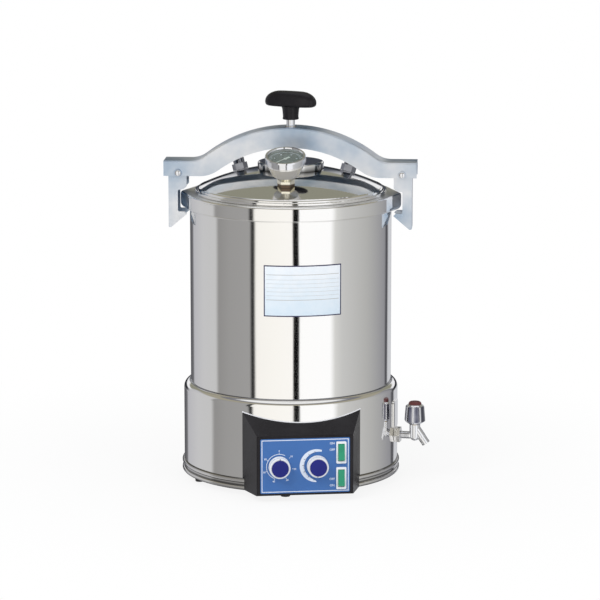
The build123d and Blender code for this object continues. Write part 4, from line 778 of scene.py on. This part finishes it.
# %% The timer's ring and figures
knob_height, timer_u, thermostat_u = 50.4, -36.0, 17.0
timer_place = around_point((timer_u, knob_height), on_panel)
thermostat_place = around_point((thermostat_u, knob_height), on_panel)
ring_in, ring_out, ring_from, ring_to = 17.2, 18.0, 62, 248
ring_edges = [circle_line(radius, ring_from, ring_to, 48) for radius in (ring_in, ring_out)]
add_band(print_mesh, *ring_edges, timer_place, ink)
minute_marks, minute_start, minute_step, figure_r, figure_size = 7, 90.0, -50.0, 22.1, 3.4
add_marks(print_mesh, "white_ink", timer_place, ink, minute_marks, 19.1, minute_start, minute_step,
          1.8, 0.7)
minutes = [10 * step for step in range(minute_marks)]
add_figures(print_mesh, minutes, figure_size, timer_place, ink, figure_r, minute_start, minute_step)
print("minutes:", minutes)

# %% The thermostat's crescent and the switches' words
crescent_start, crescent_end, crescent_steps = 74.0, 266.0, 64
wide, narrow = 7.2, 1.2
inner_arc, outer_arc = [], []
for step in range(crescent_steps + 1):
    part = step / crescent_steps
    turn = radians(crescent_start + (crescent_end - crescent_start) * part)
    swell = sin(pi * min(part * 0.95 + 0.05, 1.0)) ** 0.6 * (0.65 + 0.35 * part)
    outer = 24.6 - 1.6 * (1.0 - sin(pi * part))
    inner = outer - (narrow + (wide - narrow) * swell)
    outer_arc.append(polar(outer, turn))
    inner_arc.append(polar(inner, turn))
add_band(print_mesh, inner_arc, outer_arc, thermostat_place, ink)
word_u, word_size = 37.5, 4.2
for word, height in (("ON", 81.5), ("OFF", 72.5), ("ON", 22.0), ("OFF", 31.0)):
    add_words(print_mesh, word, word_size, (word_u, height), on_panel, ink)
finish_piece("faceplate_print", print_mesh, "white_ink", "base")

scale_mesh = bmesh.new()
scale_start, scale_top = 100.0, ink * 1.8
add_marks(scale_mesh, "dark_ink", thermostat_place, scale_top, 25, 18.9, scale_start, 6.5, 1.4, 0.5)
add_marks(scale_mesh, "dark_ink", thermostat_place, scale_top, 7, 19.6, scale_start, 26.0, 2.8, 0.7)
finish_piece("thermostat_marks", scale_mesh, "dark_ink", "base")

# %% [markdown]
# ### The control knobs
#
# Both knobs are white barrels with finger flutes and a broad rim round a dark blue cap. The CAD
# barrel is narrower than the real one at its rim, so each is lathed again here: rings of points
# whose radius dips at each flute, stacked by height, with the flutes fading out below the rim. A
# dark line on the rim shows where the knob points.

# %% Control knobs
flutes, flute_depth, ring_steps = 24, 0.55, 192
knob_top, pointer_ends, half_line, pointer_sunk = 12.4, (11.9, 13.7), 0.5, 0.2
# Height and radius of each ring in mm, and its share of the flutes' depth.
knob_rings = [(0.45, 14.2, 0), (0.45, 14.8, 0), (2.0, 14.8, 0), (2.6, 14.6, 0), (3.2, 14.3, 1),
              (8.8, 14.1, 1), (9.8, 14.2, 0.5), (10.6, 14.4, 0), (11.6, 14.4, 0),
              (12.1, 14.2, 0), (knob_top, 13.8, 0), (knob_top, 4.0, 0), (0.45, 4.0, 0)]


def fluted_knob(name, place, body, replaced, pointer):
    """A lathed barrel with flutes, and its pointer line at an angle in degrees."""
    mesh = bmesh.new()
    rings = []
    for height, radius, fluted in knob_rings:
        def spot(turn):
            reach = radius - flute_depth * fluted * max(0.0, cos(flutes * turn)) ** 2
            return place(*polar(reach, turn), height)
        rings.append(ring_of(mesh, ring_steps, spot))
    skin(mesh, rings + rings[:1])
    knob = finish_piece(name, mesh, "white_plastic", body)
    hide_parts(replaced)
    line = bmesh.new()
    turn = radians(pointer)
    out, side = Vector((cos(turn), sin(turn))), Vector((-sin(turn), cos(turn)))
    edges = [[tuple(out * reach + side * off) for reach in pointer_ends]
             for off in (-half_line, half_line)]
    add_band(line, *edges, place, knob_top + ink, bottom=knob_top - pointer_sunk)
    finish_piece(name + "_pointer", line, "dark_ink", body)


fluted_knob("timer_barrel", timer_place, "timer", "timer_knob", 90.0)
fluted_knob("thermostat_barrel", thermostat_place, "thermostat", "thermostat_knob", 266.0)

# %% [markdown]
# ### The gauge's dial
#
# The dial lies in a plane that is square to the dome, so it needs a place function of its own. It
# has a mark for each tenth and a longer one with a figure for each whole step, over three quarters
# of a turn, with a pale ring near the edge. The needle rests at the lower left, on the first mark.

# %% The gauge's dial
gauge_normal = Vector((0.0, -0.297686595, 0.954663653))
gauge_right = Vector((1.0, 0.0, 0.0))
gauge_up = gauge_normal.cross(gauge_right)
dome_radius, dome_centre, gauge_out, dial_height = 302.33, 140.67, 90.0, 38.5
gauge_foot = Vector((0.0, -gauge_out, dome_centre + sqrt(dome_radius**2 - gauge_out**2)))
zero, sweep, whole_steps, tenths = 225.0, -270.0, 5, 50
tenth_r, step_r, dial_figure_r, dial_figure_size, dial_ring = 20.6, 20.0, 15.4, 4.6, (22.2, 22.7)


def on_dial(u, v, w):
    """Metres for a point right, up and out from the dial's middle, in mm."""
    offset = gauge_right * u + gauge_up * v + gauge_normal * (dial_height + w)
    return (gauge_foot + offset) * MM


dial_mesh = bmesh.new()
add_marks(dial_mesh, "white_ink", on_dial, ink, tenths + 1, tenth_r, zero, sweep / tenths,
          1.6, 0.35)
add_marks(dial_mesh, "white_ink", on_dial, ink, whole_steps + 1, step_r, zero,
          sweep / whole_steps, 3.0, 0.7)
add_figures(dial_mesh, range(whole_steps + 1), dial_figure_size, on_dial, ink, dial_figure_r, zero,
            sweep / whole_steps)
dial_edges = [circle_line(radius, 0, 360, 96)[:-1] for radius in dial_ring]
add_band(dial_mesh, *dial_edges, on_dial, ink, closed=True)
finish_piece("dial_print", dial_mesh, "white_ink", "lid")

# %% [markdown]
# ### The blank plate on the drum
#
# A data plate is stuck to the front of the drum. Here it is blank: a pale plate that bends round
# the drum, with a thin dark frame and ruled lines that part it into fields. Its place function
# wraps across into an angle, so every band on it follows the steel. Its colour turns darker and
# cooler towards the bottom.

# %% The blank plate's finish
warm_film, cool_film = (0.80, 0.84, 0.88), (0.63, 0.74, 0.83)
tint_low, tint_high = 0.254, 0.325
tree, shader = new_finish("plate_film", warm_film, roughness=0.3)
film_z = split_axes(tree, object_place(tree))["Z"]
# The colour turns darker and cooler towards the bottom, with a little noise.
lower_tint = maths(tree, "ADD", spread(tree, film_z, 1.0, 0.0, tint_low, tint_high),
               spread(tree, noise(tree, 90.0, detail=5.0), -0.18, 0.18), clamp=True)
film_grain = noise(tree, 1500.0)
feed(tree, shader, {"Base Color": blend(tree, lower_tint, warm_film, cool_film),
                    "Roughness": spread(tree, film_grain, 0.26, 0.36)})
bump(tree, shader, film_grain, 0.3, 0.00001)
print("plate_film nodes:", len(tree.nodes))

# %% The blank plate
drum_r, plate_bearing, label_half, label_low, label_high = 142.0, radians(11.1), 54.8, 254.0, 325.4
film_t, rule_t, edge_w, rule_margin = 0.35, 0.42, 1.5, 3.5


def drum_place(bearing):
    """A place function for the drum's wall, whose origin is at a bearing."""
    def place(u, v, w):
        turn = bearing + u / drum_r
        return Vector(((drum_r + w) * sin(turn), -(drum_r + w) * cos(turn), v)) * MM
    return place


on_drum = drum_place(plate_bearing)
label_mesh = bmesh.new()
level_strip(label_mesh, label_half, label_low, label_high, on_drum, film_t)
finish_piece("blank_plate", label_mesh, "plate_film", "base")

rule_mesh = bmesh.new()
inner_low, inner_high = label_low + edge_w, label_high - edge_w
for low, high in ((label_low, inner_low), (inner_high, label_high)):
    level_strip(rule_mesh, label_half, low, high, on_drum, rule_t)
for left in (-label_half, label_half - edge_w):
    sides = [[(u, inner_low), (u, inner_high)] for u in (left, left + edge_w)]
    add_band(rule_mesh, *sides, on_drum, rule_t)
finish_piece("plate_frame", rule_mesh, "dark_ink", "base")

field_mesh = bmesh.new()
rules = [(277.0, 0.7), (312.0, 0.7)] + [(283.0 + 5.6 * step, 0.3) for step in range(5)]
for height, width in rules:
    level_strip(field_mesh, label_half - rule_margin, height, height + width, on_drum, rule_t)
finish_piece("plate_rules", field_mesh, "grey_plastic", "base")

# %% [markdown]
# ### The clamp knob
#
# The knob on the spindle is a moulded bar on a round neck. Its ends are blunt and its top is broad
# and flat, with soft corners all round. Each section is a superellipse, which is an ellipse with
# fuller corners, and the stack of sections gives the side view. The neck is a lathed shape whose
# foot flares a little.

# %% The clamp knob
turned_knob = Matrix.Rotation(radians(-20.0), 3, "Z")
bar_z, neck_z, fullness = 527.0, 509.0, 2.7
# Height above the bar's foot, length and width of each section, in mm.
bar_sections = [(0.0, 62, 20), (0.3, 68, 23), (1.2, 72.5, 25.2), (3.0, 75.4, 26.6),
                (5.5, 76.4, 27.0), (9.0, 75.6, 26.6), (12.5, 72.4, 25.2), (15.6, 67.0, 22.8),
                (18.2, 59.5, 19.6), (20.2, 50.0, 15.4), (21.1, 41.0, 11.4), (21.45, 30.0, 7.0)]
neck_profile = [(0.0, 10.9), (0.5, 11.3), (2.0, 11.3), (3.2, 10.9), (9.0, 11.3), (14.5, 11.9),
                (16.8, 12.6), (18.6, 13.4)]


def fuller(reach, part):
    """A sine or cosine pushed outwards, which fills out an ellipse's corners."""
    return reach / 2 * abs(part) ** (2 / fullness) * (1 if part >= 0 else -1)


knob_mesh = bmesh.new()
rings = []
for height, length, width in bar_sections:
    def bar_spot(turn):
        corner = Vector((fuller(length, cos(turn)), fuller(width, sin(turn)), bar_z + height))
        return turned_knob @ corner * MM
    rings.append(ring_of(knob_mesh, 96, bar_spot))
capped_skin(knob_mesh, rings)
lathe(knob_mesh, neck_profile, 64, lambda u, v, w: Vector((u, v, neck_z + w)) * MM)
clamp_knob = finish_piece("clamp_knob", knob_mesh, "black_plastic", "clamp_screw",
                          crease=50.0)
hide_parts("knob")

# %% [markdown]
# ### Beads, a painted highlight and a thread
#
# A second tree draws a round bead along any line of points. A rolled bead stiffens the collar's
# lower edge, and a dark one at the joint where the skirt meets the drum is painted shade, for the
# drum's contact shadow. The same tree makes a pale bead along the top edge of the panel's housing,
# against the skirt, which is a painted highlight on that edge. Given a helix, it makes the
# crests of the thread on the tap's pipe, into which the lock nut screws.

# %% A bead along a line
bead_tree, bead_keys, given = start_tree("bead_along", {
    "Geometry": "Geometry", "Radius": "Float", "Finish": "Material"})
path = add_node(bead_tree, "GeometryNodeMeshToCurve", {"Mesh": given["Geometry"]})
section = add_node(bead_tree, "GeometryNodeCurvePrimitiveCircle", {
    "Resolution": 10, "Radius": given["Radius"]})
tube = add_node(bead_tree, "GeometryNodeCurveToMesh", {
    "Curve": path.outputs["Curve"], "Profile Curve": section.outputs["Curve"], "Fill Caps": True})
end_tree(bead_tree, tube.outputs["Mesh"], given["Finish"])


def bead(name, points, radius, finish):
    """A round bead on the base, along points in mm."""
    path = [tuple(Vector(point) * MM) for point in points]
    values = {"Radius": radius * MM, "Finish": finishes[finish]}
    mesh = bmesh.new()
    mesh.from_mesh(grow(bead_tree, bead_keys, values, path))
    finish_piece(name, mesh, finish, "base", crease=60.0)


def hoop(radius, height):
    """A full circle of points whose ends meet."""
    return [(*polar(radius, 2 * pi * step / 180), height) for step in range(181)]


bead("collar_edge_bead", hoop(146.5, 386.6), 0.95, "polished_steel")
# Painted shade: this dark bead at the joint stands for the drum's contact shadow on the skirt.
bead("skirt_joint_shade_bead", hoop(142.7, 136.7), 1.1, "dark_chrome")

# %% The housing's painted highlight
skirt_r, panel_half, crest_high, crest_dip = 151.7, 82.5, 119.1, 11.8
highlight_out, highlight_up, highlight_steps = 0.35, 0.1, 64
crest_points = []
for step in range(highlight_steps + 1):
    u = -panel_half + 2 * panel_half * step / highlight_steps
    v = crest_high - crest_dip * (1.0 - (u / panel_half) ** 2) + highlight_up
    reach = sqrt(skirt_r**2 - u**2) + highlight_out
    crest_points.append(tuple(across * u + outward * reach + Vector((0.0, 0.0, v))))
# Painted highlight: a pale bead along the housing's top edge.
bead("housing_edge_highlight", crest_points, 0.8, "pale_highlight")

# %% The thread on the tap's pipe
tap_turn = radians(-9.5)
tap_out = Vector((cos(tap_turn), sin(tap_turn), 0.0))
tap_side = Vector((-sin(tap_turn), cos(tap_turn), 0.0))
pipe_z, pipe_r, crest_r, thread_from, thread_to, thread_pitch = 64.0, 4.9, 0.45, 160.0, 172.4, 1.8
steps_a_turn = 24
thread_turns = (thread_to - thread_from) / thread_pitch
helix = []
for step in range(int(thread_turns * steps_a_turn) + 1):
    turn = 2 * pi * step / steps_a_turn
    along = thread_from + thread_pitch * step / steps_a_turn
    rise_of_turn = Vector((0.0, 0.0, pipe_z + pipe_r * sin(turn)))
    helix.append(tuple(tap_out * along + tap_side * (pipe_r * cos(turn)) + rise_of_turn))
bead("tap_thread", helix, crest_r, "dark_chrome")

# %% [markdown]
# ### The tap's handle
#
# The handle is cast with eight hollow flats, and turned to a cone at its top and foot, as a nut is.
# Where the cones cut the flats they leave curved edges. The radius at each height is the smaller of
# two: the flats' radius, which tapers upwards, and the cone's. The plating keeps its bright colour on
# the ridges, and a dark reflection is painted into the hollows: an attribute on the mesh tells the
# finish how deep in a hollow each point lies.

# %% The tap handle's finish
bright_chrome, painted_hollow_dark = (0.85, 0.86, 0.90), (0.055, 0.058, 0.10)
tree, shader = new_finish("handle_chrome", bright_chrome, metallic=1.0)
hollow = add_node(tree, "ShaderNodeAttribute", attribute_name="hollow").outputs["Fac"]
cast_grain = noise(tree, 700.0, detail=3.0)
mottling = spread(tree, noise(tree, 60.0, detail=3.0), 0.85, 1.0)
# Painted reflection: the base colour turns dark in the hollows.
tint = blend(tree, maths(tree, "MULTIPLY", hollow, mottling), bright_chrome, painted_hollow_dark)
feed(tree, shader, {"Base Color": tint, "Roughness": spread(tree, cast_grain, 0.06, 0.14)})
bump(tree, shader, cast_grain, 0.25, 0.000008)
print("handle_chrome nodes:", len(tree.nodes))

# %% The tap handle
handle_axis = tap_out * 180.4
handle_low, handle_high, taper_from, foot_r, shoulder_r, flats = 81.0, 109.0, 88.0, 15.2, 13.4, 8
foot_cone, foot_slope, top_cone, top_slope = 8.6, 1.45, 9.8, 1.25
hollow_depth, ridge_cut, ridge_edge = 0.028, 0.975, 0.97
first_ridge = radians(-9.7 - 90.0)
around_steps, height_steps = 192, 44
half_flat = pi / flats
handle_mesh = bmesh.new()
hollow_layer = handle_mesh.verts.layers.float.new("hollow")
rings = []
for row in range(height_steps + 1):
    z = handle_low + (handle_high - handle_low) * row / height_steps
    tapered = max(0.0, z - taper_from) / (handle_high - taper_from)
    taper = foot_r + (shoulder_r - foot_r) * tapered
    cone = min(foot_cone + (z - handle_low) * foot_slope, top_cone + (handle_high - z) * top_slope)
    ring = []
    for step in range(around_steps):
        turn = 2 * pi * step / around_steps
        off = (turn - first_ridge) % (2 * half_flat) - half_flat
        bow = cos(pi * off / (2 * half_flat))
        flat = min(cos(half_flat) / cos(off) - hollow_depth * bow, ridge_cut)
        radius = min(taper * flat, cone)
        point = handle_axis + Vector((*polar(radius, turn), z))
        vertex = handle_mesh.verts.new(point * MM)
        on_flat = taper * flat <= cone and flat < ridge_edge
        vertex[hollow_layer] = bow ** 0.5 if on_flat else 0.0
        ring.append(vertex)
    rings.append(ring)
capped_skin(handle_mesh, rings)
tap_grip = finish_piece("tap_grip", handle_mesh, "handle_chrome", "tap_handle",
                        crease=50.0)
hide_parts("tap_handle")

# %% [markdown]
# ### Rivet heads and the drum's seam
#
# The hooks hang on pins whose heads are riveted over, so each end is a low dome. The drum's wall is
# rolled from sheet, and a low welded seam runs up its back.

# %% Rivet heads
pin_low, pin_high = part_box("hook_pins")
rivet_mesh = bmesh.new()
rivet_r, rivet_h, rivet_sunk, rivet_rings, pin_x, pin_z = 4.3, 1.7, 0.1, 9, 157.3, 434.3
slopes = [pi / 2 * step / rivet_rings for step in range(rivet_rings)]
rivet_profile = [(rivet_h * sin(slope) - rivet_sunk, rivet_r * cos(slope)) for slope in slopes]
for side_x in (-1, 1):
    for face_y, out in ((pin_low[1] / MM, -1), (pin_high[1] / MM, 1)):
        lathe(rivet_mesh, rivet_profile, 32, lambda u, v, w: Vector((
            side_x * pin_x + u, face_y + out * w, pin_z + v)) * MM)
finish_piece("rivet_heads", rivet_mesh, "chrome_plate", "yoke", crease=60.0)

# %% The drum's seam
seam_mesh = bmesh.new()
seam_half, seam_low, seam_high, seam_crown = 1.6, 137.5, 385.0, 0.3
on_back = drum_place(pi)


def on_seam(u, v, w):
    """The back of the drum, with heights above it crowned across the seam."""
    return on_back(u, v, w * (1.0 - (u / seam_half) ** 2) if w > 0 else w)


level_strip(seam_mesh, seam_half, seam_low, seam_high, on_seam, seam_crown, steps=8)
finish_piece("drum_seam", seam_mesh, "plain_steel", "base")
